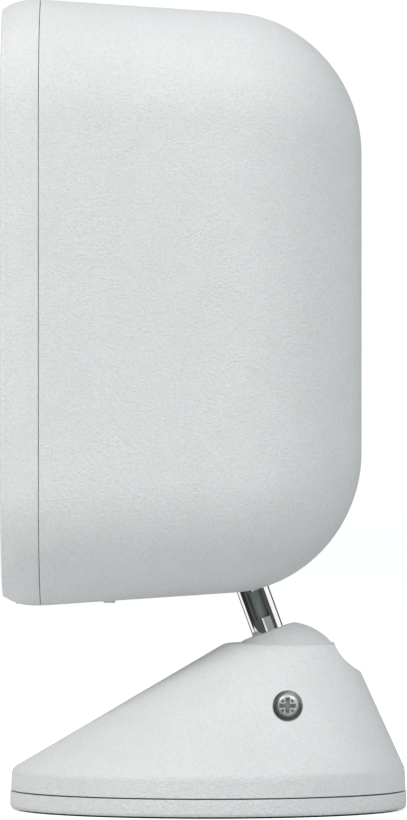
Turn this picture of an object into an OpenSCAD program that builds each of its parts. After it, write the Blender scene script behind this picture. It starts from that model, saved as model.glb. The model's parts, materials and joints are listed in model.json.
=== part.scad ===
// Video doorbell on a ball stand: a deep rounded head on a chrome stem, a ball in a wedge-shaped base.
// Millimetres. +Z up, the face looks along -Y, the origin is the middle of the base's underside.

/* [Head] */
// Height of the head at the seam between its two shells
head_h = 151.1; // [145:0.1:182]
// Width of the head at the seam
head_w = 68; // [66:0.5:82]
// Depth of the rear housing, from the seam to its back
housing_d = 80; // [78:0.5:96]
// Corner radius of the head, seen from the front
corner_r = 30; // [26:0.5:32]
// Slope of the head's top and underside, in degrees
slope = 3.85; // [2:0.05:5]
// Slope of the head's sides, in degrees
side_slope = 0.8; // [0:0.1:1.5]
// Depth over which the back rounds off
round_d = 31.6; // [24:0.2:36]
// How far the top and underside come in over that depth
round_in = 32.7; // [24:0.1:33]
// Wall of both shells
wall = 2.4; // [1.8:0.1:3]

/* [Front cover] */
// Depth of the front cover, from the seam to the middle of its face
cover_d = 10.1; // [9.5:0.1:13]
// How far the cover's edge falls in before its front corner
edge_drop = 2; // [1:0.1:3]
// How much the middle of the face stands out
crown = 0.6; // [0.2:0.1:1]
// Radius of the cover's front corner
edge_r = 0.75; // [0.4:0.05:1]
// Gap of the seam between the two shells
seam_gap = 0.3; // [0.2:0.05:0.5]

/* [Face] */
// Width of the dark lens window
window_w = 40; // [34:1:44]
// Height of the dark lens window
window_h = 52; // [44:1:54]
// Height of the window's middle above the head's middle
window_z = 40; // [38:0.5:42]
// Height of the camera lens above the head's middle
lens_z = 48; // [46:0.5:50]
// Radius of the lens barrel
barrel_r = 7; // [5:0.1:8]
// Width of the motion sensor's lens
motion_w = 24; // [18:0.5:28]
// Height of the motion sensor's lens
motion_h = 12; // [8:0.5:12]
// Height of the motion sensor's middle above the head's middle
motion_z = 1; // [0:0.5:2]
// Radius of the call button
button_r = 12.8; // [9:0.1:13]
// Height of the call button's middle above the head's middle
button_z = -30; // [-31:0.5:-29]
// How far the call button goes in
button_travel = 1; // [0.6:0.1:1.2]
// Width of the light ring around the button
ring_w = 2.2; // [1:0.1:2.2]
// Height of the speaker's middle above the head's middle
speaker_z = -56; // [-57:0.5:-55]
// Radius of the speaker
speaker_r = 11.6; // [9.2:0.1:11.7]

/* [Hatch] */
// Length of the port hatch, front to back
hatch_l = 16.75; // [15:0.25:20]
// Width of the port hatch
hatch_w = 12; // [10.5:0.25:14]
// Distance from the seam to the hatch's middle
hatch_y = 17; // [15:0.5:20]
// Depth of the recess behind the hatch, to the socket's mouth
recess_d = 8; // [7:0.25:9]
// Thickness of the hatch
hatch_t = 1.8; // [1.4:0.1:2]

/* [Stem and ball] */
// Diameter of the stem tube
stem_od = 8; // [7:0.1:9.6]
// Wall of the stem tube
stem_wall = 0.9; // [0.6:0.1:1.1]
// Forward lean of the stem at rest, in degrees
stem_lean = 20; // [12:0.5:24]
// Radius of the ball
ball_r = 15; // [12.5:0.1:15.5]
// Height of the ball's flat above its centre, along the stem
flat_s = 13.35; // [12:0.05:13.5]
// Height of the head's lowest edge above the ball's centre
head_gap = 19.1; // [18:0.1:23]
// Distance from the ball's centre forward to the head's seam
seam_ahead = 61.2; // [56:0.1:66]
// Width of the window in the stem
slot_w = 3.6; // [2.4:0.1:4]
// Length of the window in the stem
slot_l = 7.1; // [4:0.1:7.2]

/* [Base] */
// Radius of the wedge at its lower edge
base_r = 49.1; // [46:0.1:59]
// Radius of the wedge's flat top
top_r = 15.35; // [15:0.05:16.5]
// Height of the wedge's flat top above the ground
top_z = 41.45; // [40:0.05:46]
// Height of the crease between the rim and the wedge
rim_z = 10.25; // [9.5:0.05:12]
// Height of the seam between the base shell and the base plate
plate_z = 4.8; // [4.4:0.1:5.4]
// Distance of the ball behind the base's middle
ball_y = 19.5; // [17:0.1:21]
// Depth of the ball's centre below the wedge's flat top
ball_sink = 9.65; // [9:0.05:10]
// Wall of the base shell
base_wall = 3; // [2.2:0.1:3.4]
// Visible height of the rubber foot
foot_show = 0.45; // [0.3:0.05:0.8]
// Radius of the rubber foot
foot_r = 47.75; // [44:0.25:48]
// Radius of the notch behind the ball
notch_r = 13.2; // [12:0.1:14]

/* [Clamp and fasteners] */
// Height of the clamp screw below the ball's centre
clamp_drop = 5; // [4.5:0.1:6]
// Radius of the clamp screw's counterbore
clamp_bore_r = 3.72; // [3.4:0.02:4.2]
// Distance of the clamp screw's head from the ball's centre, to its seat
clamp_seat = 26; // [25.5:0.1:26.5]
// Radius of an M3 screw
m3_r = 1.5; // [1.4:0.05:1.6]
// Radius of an M3 pan head
m3_head_r = 2.8; // [2.75:0.05:3]
// Distance between the two threaded inserts in the base plate
insert_span = 60; // [50:1:64]
// Thread radius of the inserts
insert_r = 2; // [1.6:0.1:2.5]

/* [Fits] */
// Radial clearance of the ball in its seats, and of the cup in its bore
ball_fit = 0.08; // [0.04:0.01:0.1]
// Radial clearance of the stem in the ball and of small pins
pin_fit = 0.05; // [0.02:0.01:0.1]
// Gap around covers and moving pieces
gap = 0.3; // [0.25:0.05:0.4]

/* [Hidden] */
$fn = 64;
arc_n = 10;      // steps around a quarter corner of the head
round_n = 12;    // steps around the head's rear edge
eps = 0.01;
far = 200;

ball_z = top_z - ball_sink;
seam_y = ball_y - seam_ahead;
head_z = ball_z + head_gap + head_h / 2;

half_w = head_w / 2;
half_h = head_h / 2;
ridge = 1.2;                                     // half-width of the ridge that the back ends in
corner_share = corner_r / half_w;                // corner radius as a share of the half-width
back_w = half_w - housing_d * tan(side_slope);   // half-width at the back, before rounding

// Front stack, measured from the seam; the face looks along -Y
cover_t = 2.2;                                   // wall of the cover's face
face_y = -(cover_d - crown);                     // face at its outer edge
cavity_y = face_y + cover_t;                     // back of the face
sink = 0.35;                                     // how far pieces sit below the crown
face_piece_y = face_y + sink - crown / 2;        // front of what sits in the face
frame_y = 1;                                     // front of the inner frame
frame_t = 2;
board_y = frame_y + frame_t + 4;                 // front of the main board
board_t = 1.6;
seal_t = 1.5;                                    // seal between the shells
seal_l = 1.9;
post_x = half_w - wall - seal_t - m3_head_r - 0.1;  // screw posts beside the boards
post_z = 40;
post_r = 3.5;
post_l = 13;

// ---- shared shapes ----

// Quarter arc of a rounded corner
function corner(cx, cz, r, a) = [for (i = [0:arc_n]) [cx + r * cos(a + 90 * i / arc_n),
    cz + r * sin(a + 90 * i / arc_n)]];

// Rounded rectangle, anticlockwise as seen from the front
function outline(w, h, r) = concat(corner(w - r, h - r, r, 0), corner(r - w, h - r, r, 90),
    corner(r - w, r - h, r, 180), corner(w - r, r - h, r, 270));

// Section of the head's shells: depth y, half-width, half-height and how far the back has rounded, 0 to 1
function section(y, w, h, t) =
    [for (p = outline(w, h, w * (corner_share + (1 - corner_share) * t) * 0.985)) [p[0], y, p[1]]];

// Rear housing's section at depth y in its straight part, inset by t
function straight_section(y, t) = section(y, half_w - y * tan(side_slope) - t,
    half_h - y * tan(slope) - t, 0);

// Rear housing's section at angle a around its rear edge, inset by t
function round_section(a, t) =
    let(y = housing_d - round_d + (round_d - t) * sin(a), c = 1 - cos(a))
    section(y, half_w - y * tan(side_slope) - t - (back_w - t - ridge) * c,
        half_h - y * tan(slope) - t - (round_in - t) * c, c);

// All sections of the rear housing from depth y0 to its back, inset by t
function housing_sections(y0, t) = concat([straight_section(y0, t)],
    [for (i = [0:round_n]) round_section(90 * i / round_n, t)]);

// Front cover: the edge falls in by a cube law, turns a small radius and runs up the crowned face
edge_len = -face_y - edge_r;
function edge_fall(e) = edge_drop * pow(e / edge_len, 3);
function cover_section(e, in) = section(-e, half_w - in, half_h - in, 0);
function cover_rings() = concat(
    [for (i = [0:5]) let(s = 1 - pow(i / 5, 1.3)) let(in = edge_drop + edge_r + s * (half_w - 5))
        cover_section(-face_y + crown * (1 - pow(1 - s, 2)), in)],
    [for (i = [1:3]) let(a = 90 * (4 - i) / 4)
        cover_section(edge_len + edge_r * sin(a), edge_drop + edge_r * (1 - cos(a)))],
    [for (i = [0:6]) let(e = edge_len + (seam_gap / 2 - edge_len) * i / 6) cover_section(e,
        edge_fall(e))]);

// Closed skin through a list of rings with equal numbers of points
module loft(rings) {
    n = len(rings[0]);
    m = len(rings);
    polyhedron(points = [for (r = rings, p = r) p], faces = concat(
        [[for (j = [n - 1:-1:0]) j]],
        [for (i = [0:m - 2], j = [0:n - 1]) let(a = i * n + j, b = i * n + (j + 1) % n)
            [a, b, b + n, a + n]],
        [[for (j = [0:n - 1]) (m - 1) * n + j]]));
}

// Closed shell between an outer and an inner list of rings, open at the first ring
module shell_loft(outer, inner) {
    n = len(outer[0]);
    rings = concat(outer, [for (i = [len(inner) - 1:-1:0]) inner[i]]);
    m = len(rings);
    o = len(outer);
    polyhedron(points = [for (r = rings, p = r) p], faces = concat(
        [for (i = [0:o - 2], j = [0:n - 1]) let(a = i * n + j, b = i * n + (j + 1) % n)
            [a, b, b + n, a + n]],
        [[for (j = [0:n - 1]) (o - 1) * n + j]],
        [[for (j = [n - 1:-1:0]) o * n + j]],
        [for (i = [o:m - 2], j = [0:n - 1]) let(a = i * n + j, b = i * n + (j + 1) % n)
            [a, b, b + n, a + n]],
        [for (j = [0:n - 1]) let(k = (j + 1) % n, a = (m - 1) * n) [a + j, a + k, k, j]]));
}

// Round tube swept along points, with k sides
function unit(v) = v / norm(v);
module tube_path(pts, r, k = 8) {
    m = len(pts);
    dirs = [for (i = [0:m - 1]) unit(pts[min(i + 1, m - 1)] - pts[max(i - 1, 0)])];
    side = [for (d = dirs) unit(cross(d, abs(d[0]) > 0.9 ? [0, 0, 1] : [1, 0, 0]))];
    loft_tube([for (i = [0:m - 1]) [for (j = [0:k - 1]) let(u = side[i], v = cross(dirs[i], u))
        pts[i] + r * (cos(360 * j / k) * u + sin(360 * j / k) * v)]]);
}
module loft_tube(rings) {
    n = len(rings[0]);
    m = len(rings);
    polyhedron(points = [for (r = rings, p = r) p], faces = concat(
        [[for (j = [0:n - 1]) j]],
        [for (i = [0:m - 2], j = [0:n - 1]) let(a = i * n + j, b = i * n + (j + 1) % n) [a + n, b + n,
            b, a]],
        [[for (j = [n - 1:-1:0]) (m - 1) * n + j]]));
}

module at_head() translate([0, seam_y, head_z]) children();
module at_stem(s = 0) translate([0, ball_y, ball_z]) rotate([stem_lean, 0, 0]) translate([0, 0, s])
    children();
// Round bar or hole along +Y, from y for a length l
module bar_y(r, y, l, x = 0, z = 0) translate([x, y, z]) rotate([-90, 0, 0]) cylinder(r = r, h = l);
// Rounded rectangular slab facing -Y, from y, thickness t
module slab_y(w, h, r, y, t, z = 0) translate([0, y + t, z]) rotate([90, 0, 0])
    linear_extrude(t) polygon(outline(w / 2, h / 2, r));
module both_x() for (s = [-1, 1]) scale_x(s) children();
module scale_x(s) if (s < 0) mirror([1, 0, 0]) children(); else children();
module four() both_x() for (z = [-post_z, post_z]) translate([post_x, 0, z]) children();
// Cross-headed pan screw: its seat is at z = 0, the head above and the shank below
module pan_screw(r, head_r, head_t, l) difference() {
    union() {
        cylinder(r = head_r, h = head_t);
        translate([0, 0, -l]) cylinder(r = r, h = l + eps);
    }
    for (a = [0, 90]) rotate(a) translate([-head_r * 0.75, -head_r * 0.13, head_t * 0.45])
        cube([head_r * 1.5, head_r * 0.26, head_t]);
}

// ---- head: shells ----

// distance of the underside below the head's middle, at the hatch
hatch_floor = half_h - hatch_y * tan(slope);
recess_wall = 1.6;
tab_w = 10;                                      // tongue that the cover screw holds
tab_t = 3;
tab_y = cavity_y + 0.5;
tab_root = seal_l / 2 + 0.2;                     // where the tongue joins the housing's floor
tab_z = half_h - wall - seal_t - 0.4;            // underside of the tongue below the head's middle
cover_screw_y = tab_y + 2.6;
cover_screw_r = 1.25;
cover_screw_z = -half_h + edge_fall(-cover_screw_y) + 1.2;   // seat of the cover screw's head
foot_z = half_h - wall - 7;                      // underside of the stem bracket's foot
bracket_y = seam_ahead - (head_gap + half_h - foot_z) * tan(stem_lean);
bracket_l = 13;
bracket_w = 25.6;
bracket_t = 4;
boss_x = 11;

module stem_hole(r) at_stem(10) cylinder(r = r, h = 40);

module recess_space(g) translate([-hatch_w / 2 - g, hatch_y - hatch_l / 2 - g, -half_h - 5])
    cube([hatch_w + 2 * g, hatch_l + 2 * g, 5 + half_h - hatch_floor + recess_d + g]);

module rear_housing() color("gainsboro") difference() {
    at_head() difference() {
        union() {
            shell_loft(housing_sections(seam_gap / 2, 0), housing_sections(seam_gap / 2, wall));
            four() {
                bar_y(post_r, frame_y + frame_t, post_l);
                translate([0, frame_y + frame_t, -1.5])
                    cube([half_w - wall / 2 - 0.6 - post_x, post_l, 3]);
            }
            intersection() {
                loft(housing_sections(seam_gap, wall / 2));
                union() {
                    recess_space(recess_wall);
                    for (x = [-boss_x, boss_x]) translate([x, bracket_y, -half_h])
                        cylinder(r = 3, h = half_h - foot_z);
                    translate([-tab_w / 2, tab_root, -half_h]) cube([tab_w, 4, half_h - tab_z + tab_t]);
                }
            }
            translate([-tab_w / 2, tab_y, -tab_z]) cube([tab_w, tab_root + 4 - tab_y, tab_t]);
        }
        recess_space(0);
        four() bar_y(m3_r, frame_y, 9);
        for (x = [-boss_x, boss_x]) translate([x, bracket_y, -half_h + wall + 1.2])
            cylinder(r = m3_r, h = 20);
        translate([0, cover_screw_y, -half_h]) cylinder(r = cover_screw_r, h = 8);
        translate([0, hatch_y, 0]) socket_outline(pin_fit);
        hinge_pin_shape(0, pin_hold);
    }
    stem_hole(stem_od / 2 + 0.1);
}

module front_cover() color("whitesmoke") at_head() difference() {
    union() {
        difference() {
            loft(cover_rings());
            translate([0, cavity_y, 0]) rotate([-90, 0, 0]) linear_extrude(far)
                polygon(outline(half_w - wall, half_h - wall, (half_w - wall) * corner_share));
        }
        both_x() for (z = [-15, 15]) {
            translate([half_w - wall - gap - 1.6, cavity_y - eps, z - 4]) cube([1.6, 5 - cavity_y, 8]);
            translate([half_w - wall - gap - 1.6, cavity_y - eps, z - 4]) cube([2.4, 4, 8]);
        }
        bar_y(ring_out + 1.2, cavity_y - eps, 1, 0, button_z);
    }
    slab_y(window_w, window_h, window_w / 2 - eps, -far, far - 5, window_z);
    slab_y(motion_w, motion_h, motion_h / 2 - eps, -far, far - 5, motion_z);
    bar_y(ring_out + 0.05, -far, far - 5, 0, button_z);
    slab_y(grille_w, grille_h, grille_h / 2 - eps, -far, far - 5, grille_z);
    bar_y(0.8, -far, far, mic_x, mic_z);
    translate([0, cover_screw_y, -half_h - 1]) cylinder(r = cover_screw_r + 0.1, h = 10);
    translate([0, cover_screw_y, cover_screw_z - 5]) cylinder(r = 2.4, h = 5);
}

// Seal between the shells, inboard of both walls
module housing_seal() color("dimgray") at_head() translate([0, seal_l / 2, 0]) rotate([90, 0, 0])
    linear_extrude(seal_l) difference() {
        polygon(outline(half_w - wall - 0.05 - seal_l * tan(slope),
            half_h - wall - 0.05 - seal_l * tan(slope),
            (half_w - wall) * corner_share));
        polygon(outline(half_w - wall - seal_t, half_h - wall - seal_t,
            (half_w - wall - seal_t) * corner_share));
        for (x = [-1, 1], z = [-15, 15]) translate([x *
            (half_w - wall), z]) square([7, 9], center = true);
    }

// ---- head: face ----

ring_out = button_r + gap + ring_w;
ring_back = 2.9;                                 // depth of the light ring
grille_w = 30;
grille_h = 12;
grille_z = speaker_z;
mic_x = 20;
mic_z = -43;
lamp_x = 12.5;
lamp_dz = 6.5;

module lens_window() color([0.05, 0.05, 0.06]) at_head() difference() {
    slab_y(window_w - 0.2, window_h - 0.2, window_w / 2 - 0.15, face_piece_y, 1.6, window_z);
    bar_y(barrel_r + 1.9, -far, far, 0, lens_z);
}
module lens_bezel() color([0.12, 0.12, 0.13]) at_head() translate([0, face_piece_y, lens_z])
    rotate([-90, 0, 0])
    difference() {
        cylinder(r = barrel_r + 1.85, h = 2.6);
        translate([0, 0, -eps]) cylinder(r1 = barrel_r + 0.9, r2 = barrel_r - 1.4, h = 1.4);
        translate([0, 0, 1]) cylinder(r = barrel_r - 1.4, h = 3);
    }
module lens_glass() color([0.1, 0.12, 0.2]) at_head() translate([0, face_piece_y + 0.6, lens_z])
    rotate([-90, 0, 0]) intersection() {
        translate([0, 0, 12]) sphere(r = 12);
        cylinder(r = barrel_r - 1.45, h = 3.2);
    }
module lens_barrel() color([0.15, 0.15, 0.15]) at_head() difference() {
    bar_y(barrel_r, face_piece_y + 2.65, board_y - board_t - 1.2 - face_piece_y - 2.65, 0, lens_z);
    bar_y(barrel_r - 1.4, face_piece_y + 2.6, 1.4, 0, lens_z);
    bar_y(barrel_r - 3, face_piece_y + 2.6, far, 0, lens_z);
}
module image_sensor_board() color("darkgreen") at_head()
    translate([-11, board_y - board_t - 1.2, lens_z - 11]) cube([22, 1.2, 22]);
lamp_board_y = -3;
module lamp_board() color("darkgreen") at_head() difference() {
    slab_y(34, 26, 4, lamp_board_y, 1, lens_z - 3);
    bar_y(barrel_r + 0.4, -far, 2 * far, 0, lens_z);
}
module infrared_lamps() color([0.25, 0.1, 0.25]) at_head() for (x = [-1, 1], z = [-1, 1]) {
    bar_y(2.5, lamp_board_y - 2.2, 2.2, x * lamp_x, lens_z + z * lamp_dz);
    translate([x * lamp_x, lamp_board_y - 2.2, lens_z + z * lamp_dz]) intersection() {
        sphere(r = 2.5);
        translate([-3, -3, -3]) cube([6, 3 + eps, 6]);
    }
}
module light_sensor() color([0.3, 0.3, 0.32]) at_head()
    translate([-1.5, lamp_board_y - 1.2, lens_z - 14.5]) cube([3, 1.2, 3]);
module motion_lens() color([0.93, 0.94, 0.95]) at_head() difference() {
    union() {
        slab_y(motion_w - 0.2, motion_h - 0.2, motion_h / 2 - 0.15, face_piece_y,
            cavity_y - face_piece_y + 0.1,
            motion_z);
        slab_y(motion_w + 3, motion_h + 3, motion_h / 2 + 1, cavity_y + 0.05, 1, motion_z);
    }
    slab_y(motion_w - 2.4, motion_h - 2.4, motion_h / 2 - 1.3, face_piece_y + 1, far, motion_z);
}
module motion_sensor() color("silver") at_head() {
    bar_y(4.1, -3.4, 3.6, 0, motion_z);
    bar_y(4.6, 0.2, frame_y - 0.2, 0, motion_z);
}
module light_ring() color([0.85, 0.93, 1]) at_head() translate([0, face_piece_y, button_z])
    rotate([-90, 0, 0])
    difference() {
        cylinder(r = ring_out, h = ring_back);
        translate([0, 0, -1]) cylinder(r = button_r + gap, h = 9);
    }
cap_t = 2;
flange_y = face_piece_y + ring_back + gap;
plunger_end = -3.9;
module call_button() color("white") at_head() difference() {
    union() {
        bar_y(button_r, face_piece_y + 0.1, flange_y + 1 - face_piece_y - 0.1, 0, button_z);
        bar_y(ring_out - 1.3, flange_y, 1, 0, button_z);
        bar_y(2, flange_y, plunger_end - flange_y, 0, button_z);
    }
    translate([0, face_piece_y - 59.3, button_z]) sphere(r = 60, $fn = 240);
    difference() {
        bar_y(button_r - 1.2, face_piece_y + cap_t + 0.1, far, 0, button_z);
        bar_y(2, -far, 2 * far, 0, button_z);
    }
}
module button_switch() color([0.2, 0.2, 0.2]) at_head() {
    translate([-3, -2, button_z - 3]) cube([6, 2 + frame_y, 6]);
    bar_y(1.7, -2.7, 0.7 + eps, 0, button_z);
}
spring_turns = 4;
spring_y0 = face_piece_y + cap_t + 0.55;
spring_y1 = frame_y - 0.45;
spring_r = 6;
module button_spring() color("silver") at_head()
    tube_path([for (i = [0:60]) let(a = 360 * spring_turns * i / 60)
    [spring_r * cos(a), spring_y0 + (spring_y1 - spring_y0) * i / 60, button_z + spring_r * sin(a)]],
        0.35, 6);

speaker_y = -6;
module speaker_frame() color([0.2, 0.2, 0.22]) at_head() difference() {
    union() {
        bar_y(speaker_r, speaker_y, 3, 0, speaker_z);
        translate([0, speaker_y + 3 - eps, speaker_z]) rotate([-90, 0, 0])
            cylinder(r1 = speaker_r - 1, r2 = 7, h = 4);
    }
    translate([0, speaker_y - eps, speaker_z]) rotate([-90, 0, 0])
        cylinder(r1 = speaker_r - 1.2, r2 = 5, h = 6);
    bar_y(5, speaker_y + 5, 5, 0, speaker_z);
}
module speaker_cone() color([0.1, 0.1, 0.1]) at_head() translate([0, speaker_y + 0.3, speaker_z])
    rotate([-90, 0, 0]) difference() {
        cylinder(r1 = speaker_r - 1.5, r2 = 4.6, h = 4.6);
        translate([0, 0, -eps]) cylinder(r1 = speaker_r - 1.9, r2 = 4.2, h = 4.2);
    }
magnet_r = 6.8;
module speaker_magnet() color("gray") at_head() bar_y(magnet_r, speaker_y + 7.02, 4.5, 0, speaker_z);
module speaker_grille() color([0.3, 0.3, 0.32]) at_head() difference() {
    slab_y(grille_w - 0.2, grille_h - 0.2, grille_h / 2 - 0.15, face_piece_y + 0.2, 1.2, grille_z);
    for (i = [-6:6], j = [-2:2]) if (abs(i) + abs(j) * 0.6 < 6.3)
        bar_y(0.6, -far, far, i * 2, grille_z + j * 2);
}
module microphone() color("silver") at_head() translate([mic_x - 1.9, frame_y - 1.1, mic_z - 1.5])
    cube([3.8, 1.05, 3]);
module microphone_boot() color([0.15, 0.15, 0.15]) at_head() difference() {
    bar_y(2.2, cavity_y + 0.05, frame_y - 1.15 - cavity_y, mic_x, mic_z);
    bar_y(0.8, -far, 2 * far, mic_x, mic_z);
}

// ---- head: inside ----

module inner_frame() color([0.75, 0.75, 0.72]) at_head() difference() {
    union() {
        inner_frame_plate();
        for (x = [-board_hole_x, board_hole_x], z = board_hole_z)
            bar_y(2.6, frame_y + frame_t - eps, 4 + eps, x, z);
        for (x = [-9.5, 9.5], z = [-9.5, 9.5])
            bar_y(1.2, frame_y + frame_t - eps, 1.2 + eps, x, lens_z + z);
        for (x = [-15, 15], z = [-14, 8])
            bar_y(1.5, lamp_board_y + 1, frame_y - lamp_board_y - 1 + eps, x, lens_z + z);
    }
    for (x = [-board_hole_x, board_hole_x], z = board_hole_z) bar_y(board_screw_r, -far, 2 * far, x, z);
}
frame_w = half_w - wall - 0.7;
frame_h = half_h - wall - 5.5;
board_w = 46.4;
board_hole_x = 20;
board_hole_z = [-30, 56];
board_screw_r = 1;
module inner_frame_plate() difference() {
    translate([0, frame_y + frame_t, 0]) rotate([90, 0, 0]) linear_extrude(frame_t)
        polygon(outline(frame_w, frame_h, frame_w * corner_share));
    bar_y(barrel_r + 0.5, -far, 2 * far, 0, lens_z);
    bar_y(magnet_r + 0.1, -far, 2 * far, 0, speaker_z);
    four() bar_y(m3_r, -far, 2 * far);
    both_x() for (z = [-15, 15]) translate([half_w - wall - 3.4, -far, z - 5]) cube([9, 2 * far, 10]);
}
module main_board() color("darkgreen") at_head() difference() {
    translate([-board_w / 2, board_y, -40]) cube([board_w, board_t, 100]);
    for (x = [-board_hole_x, board_hole_x], z = board_hole_z) bar_y(board_screw_r, -far, 2 * far, x, z);
}
module board_chips() color([0.1, 0.1, 0.1]) at_head() {
    for (c = [[-18, -22, 9, 9], [-6, -26, 12, 10], [12, -20, 7, 11], [-18, 30, 8, 8], [13, 34, 6, 9]])
        translate([c[0], board_y + board_t, c[1]]) cube([c[2], 1.1, c[3]]);
}
module shield_can() color("silver") at_head() translate([-13, board_y + board_t, 2]) difference() {
    cube([26, 2.6, 22]);
    translate([0.4, -eps, 0.4]) cube([25.2, 2.2, 21.2]);
}
module antenna() color("gold") at_head() translate([-8, frame_y + frame_t, frame_h - 5])
    cube([16, 0.5, 4.5]);
cell_r = 9.3;
cell_l = 65;
cell_y = board_y + board_t + 17.5;
module battery_cells() color([0.2, 0.4, 0.6]) at_head() both_x()
    translate([cell_r + 0.3, cell_y, -5]) cylinder(r = cell_r, h = cell_l);
module battery_cradle() color([0.75, 0.75, 0.72]) at_head() difference() {
    union() {
        translate([-21.5, cell_y - cell_r - 2, -8]) cube([43, 14, cell_l + 6.5]);
        translate([-post_x - 2, frame_y + frame_t + post_l + 0.05, post_z - 4])
            cube([2 * post_x + 4, 1.6, 8]);
    }
    both_x() translate([cell_r + 0.3, cell_y, -6.2]) cylinder(r = cell_r + 0.05, h = cell_l + 2.4);
    translate([-2, cell_y - 3, -5]) cube([4, far, cell_l]);
}
module battery_contacts() color("gold") at_head() both_x() for (z = [-6.15, cell_l - 4.98])
    translate([cell_r + 0.3 - 3, cell_y - 4, z]) cube([6, 7, 1.1]);
port_z = recess_d - hatch_floor;
socket_h = 6.6;
module socket_outline(g) translate([0, 0, port_z - 3]) linear_extrude(6)
    round_slot(3.26 / 2 + g, 8.94 / 2 + g);
module round_slot(w, l) union() {
    square([2 * w, 2 * (l - w)], center = true);
    for (s = [-1, 1]) translate([0, s * (l - w)]) circle(r = w);
}
module charging_socket() color("silver") at_head() translate([0, hatch_y, port_z]) {
    difference() {
        linear_extrude(socket_h) round_slot(3.26 / 2, 8.94 / 2);
        translate([0, 0, -eps]) linear_extrude(socket_h - 0.6) round_slot(3.26 / 2 - 0.3, 8.94 / 2 - 0.3);
    }
    translate([-0.35, -3.2, 0.9]) cube([0.7, 6.4, socket_h - 1.2]);
}
module port_board() color("darkgreen") at_head()
    translate([-5, hatch_y - 7.5, port_z + socket_h + 0.02]) cube([10, 16, 1.2]);

pivot_r = 0.95;
pivot_x = -(hatch_w / 2 - pivot_r - gap);
pivot_z = pivot_r + 0.2 - hatch_floor;
pin_hold = 1.2;                                  // how far the pin goes into the housing at each end
// The hinge pin lies along the hatch's far edge, sloped as the underside is
module along_pivot() translate([pivot_x, hatch_y, pivot_z]) rotate([90 + slope, 0, 0]) children();
module hinge_pin_shape(g, more) along_pivot()
    cylinder(r = 0.6 + g, h = hatch_l + 2 * more, center = true);
module hatch_pin() color("silver") at_head() hinge_pin_shape(0, pin_hold - 0.05);
tab_len = 2.9;
tab_proud = 0.45;
module finger_tab() translate([hatch_w / 2 - gap - 1.1, hatch_y, -hatch_floor - tab_proud]) {
    translate([-1.5, -tab_len / 2, 0]) cube([1.5 + eps, tab_len, tab_proud + 0.8]);
    intersection() {
        cylinder(r = tab_len / 2, h = tab_proud + 0.8);
        translate([0, -5, 0]) cube([1.1, 10, 5]);
    }
}
module port_hatch() color("whitesmoke") at_head() difference() {
    union() {
        intersection() {
            loft(housing_sections(seam_gap, 0));
            translate([pivot_x, hatch_y - hatch_l / 2 + gap, -far])
                cube([hatch_w / 2 - gap - pivot_x, hatch_l - 2 * gap, far]);
            translate([-20, hatch_y, hatch_t - hatch_floor]) rotate([slope, 0, 0])
                translate([0, -20, -20]) cube([40, 40, 20]);
        }
        along_pivot() cylinder(r = pivot_r, h = hatch_l - 2 * gap - 0.1, center = true);
        finger_tab();
    }
    hinge_pin_shape(pin_fit, 3);
}
module housing_screws() color("silver") at_head() four() translate([0, frame_y, 0]) rotate([90, 0, 0])
    pan_screw(m3_r, m3_head_r, 1.6, 8);
module board_screws() color("silver") at_head() for (x = [-board_hole_x, board_hole_x], z = board_hole_z)
    translate([x, board_y + board_t, z]) rotate([-90, 0, 0])
        pan_screw(board_screw_r, 1.9, 1.3, board_t + 4);
module cover_screw() color("silver") at_head() translate([0, cover_screw_y, cover_screw_z])
    rotate([180, 0, 0]) pan_screw(cover_screw_r, 2.2, 1, 5.2);

// ---- stem ----

bracket_s = (head_gap + half_h - foot_z) / cos(stem_lean);
module stem_bracket() color("silver") difference() {
    union() {
        at_head() translate([-bracket_w / 2, bracket_y - bracket_l / 2, -foot_z])
            cube([bracket_w, bracket_l, bracket_t]);
        at_stem(bracket_s - 1) cylinder(r = 6.6, h = 12);
    }
    at_stem(bracket_s - 8) cylinder(r = stem_od / 2, h = 40);
    at_head() for (x = [-boss_x, boss_x]) translate([x, bracket_y, -half_h]) cylinder(r = m3_r, h = 30);
    at_head() translate([-far / 2, bracket_y - far / 2, -foot_z - far]) cube([far, far, far]);
}
module bracket_screws() color("silver") at_head() for (x = [-boss_x, boss_x])
    translate([x, bracket_y, bracket_t - foot_z]) pan_screw(m3_r, m3_head_r, 2, bracket_t + 3.2);
nut_s = bracket_s + 11;
module stem_washer() color("silver") at_stem(nut_s) difference() {
    cylinder(r = 7, h = 1);
    translate([0, 0, -1]) cylinder(r = stem_od / 2, h = 3);
}
module stem_nut() color("silver") at_stem(nut_s + 1) difference() {
    cylinder(r = 7.5, h = 4, $fn = 6);
    translate([0, 0, -1]) cylinder(r = stem_od / 2, h = 6);
}
stem_foot = -11.4;
slot_s = (17.05 + slot_l / 2);
module stem() color("silver") at_stem() difference() {
    translate([0, 0, stem_foot]) cylinder(r = stem_od / 2, h = nut_s + 6 - stem_foot);
    translate([0, 0, stem_foot - 1]) cylinder(r = stem_od / 2 - stem_wall, h = far);
    translate([-10, -slot_w / 2, slot_s - slot_l / 2]) cube([20, slot_w, slot_l]);
}
lead_r = 2.4;
lead_top = nut_s + 9;
module stem_lead() color([0.28, 0.31, 0.31]) at_stem(stem_foot + 0.5)
    cylinder(r = lead_r, h = lead_top - stem_foot - 0.5);
module stem_retainer() color("silver") at_stem(stem_foot + 0.2) difference() {
    cylinder(r = 6.2, h = 2);
    translate([0, 0, -1]) cylinder(r = stem_od / 2, h = 4);
}
module ball() color("whitesmoke") at_stem() difference() {
    sphere(r = ball_r, $fn = 96);
    translate([0, 0, flat_s]) cylinder(r = ball_r, h = ball_r);
    translate([0, 0, -far / 2]) cylinder(r = stem_od / 2 + pin_fit, h = far);
    translate([0, 0, -ball_r - 1]) cylinder(r = 6.6, h = ball_r + 1 + stem_foot + 2.4);
}

// ---- base ----

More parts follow.
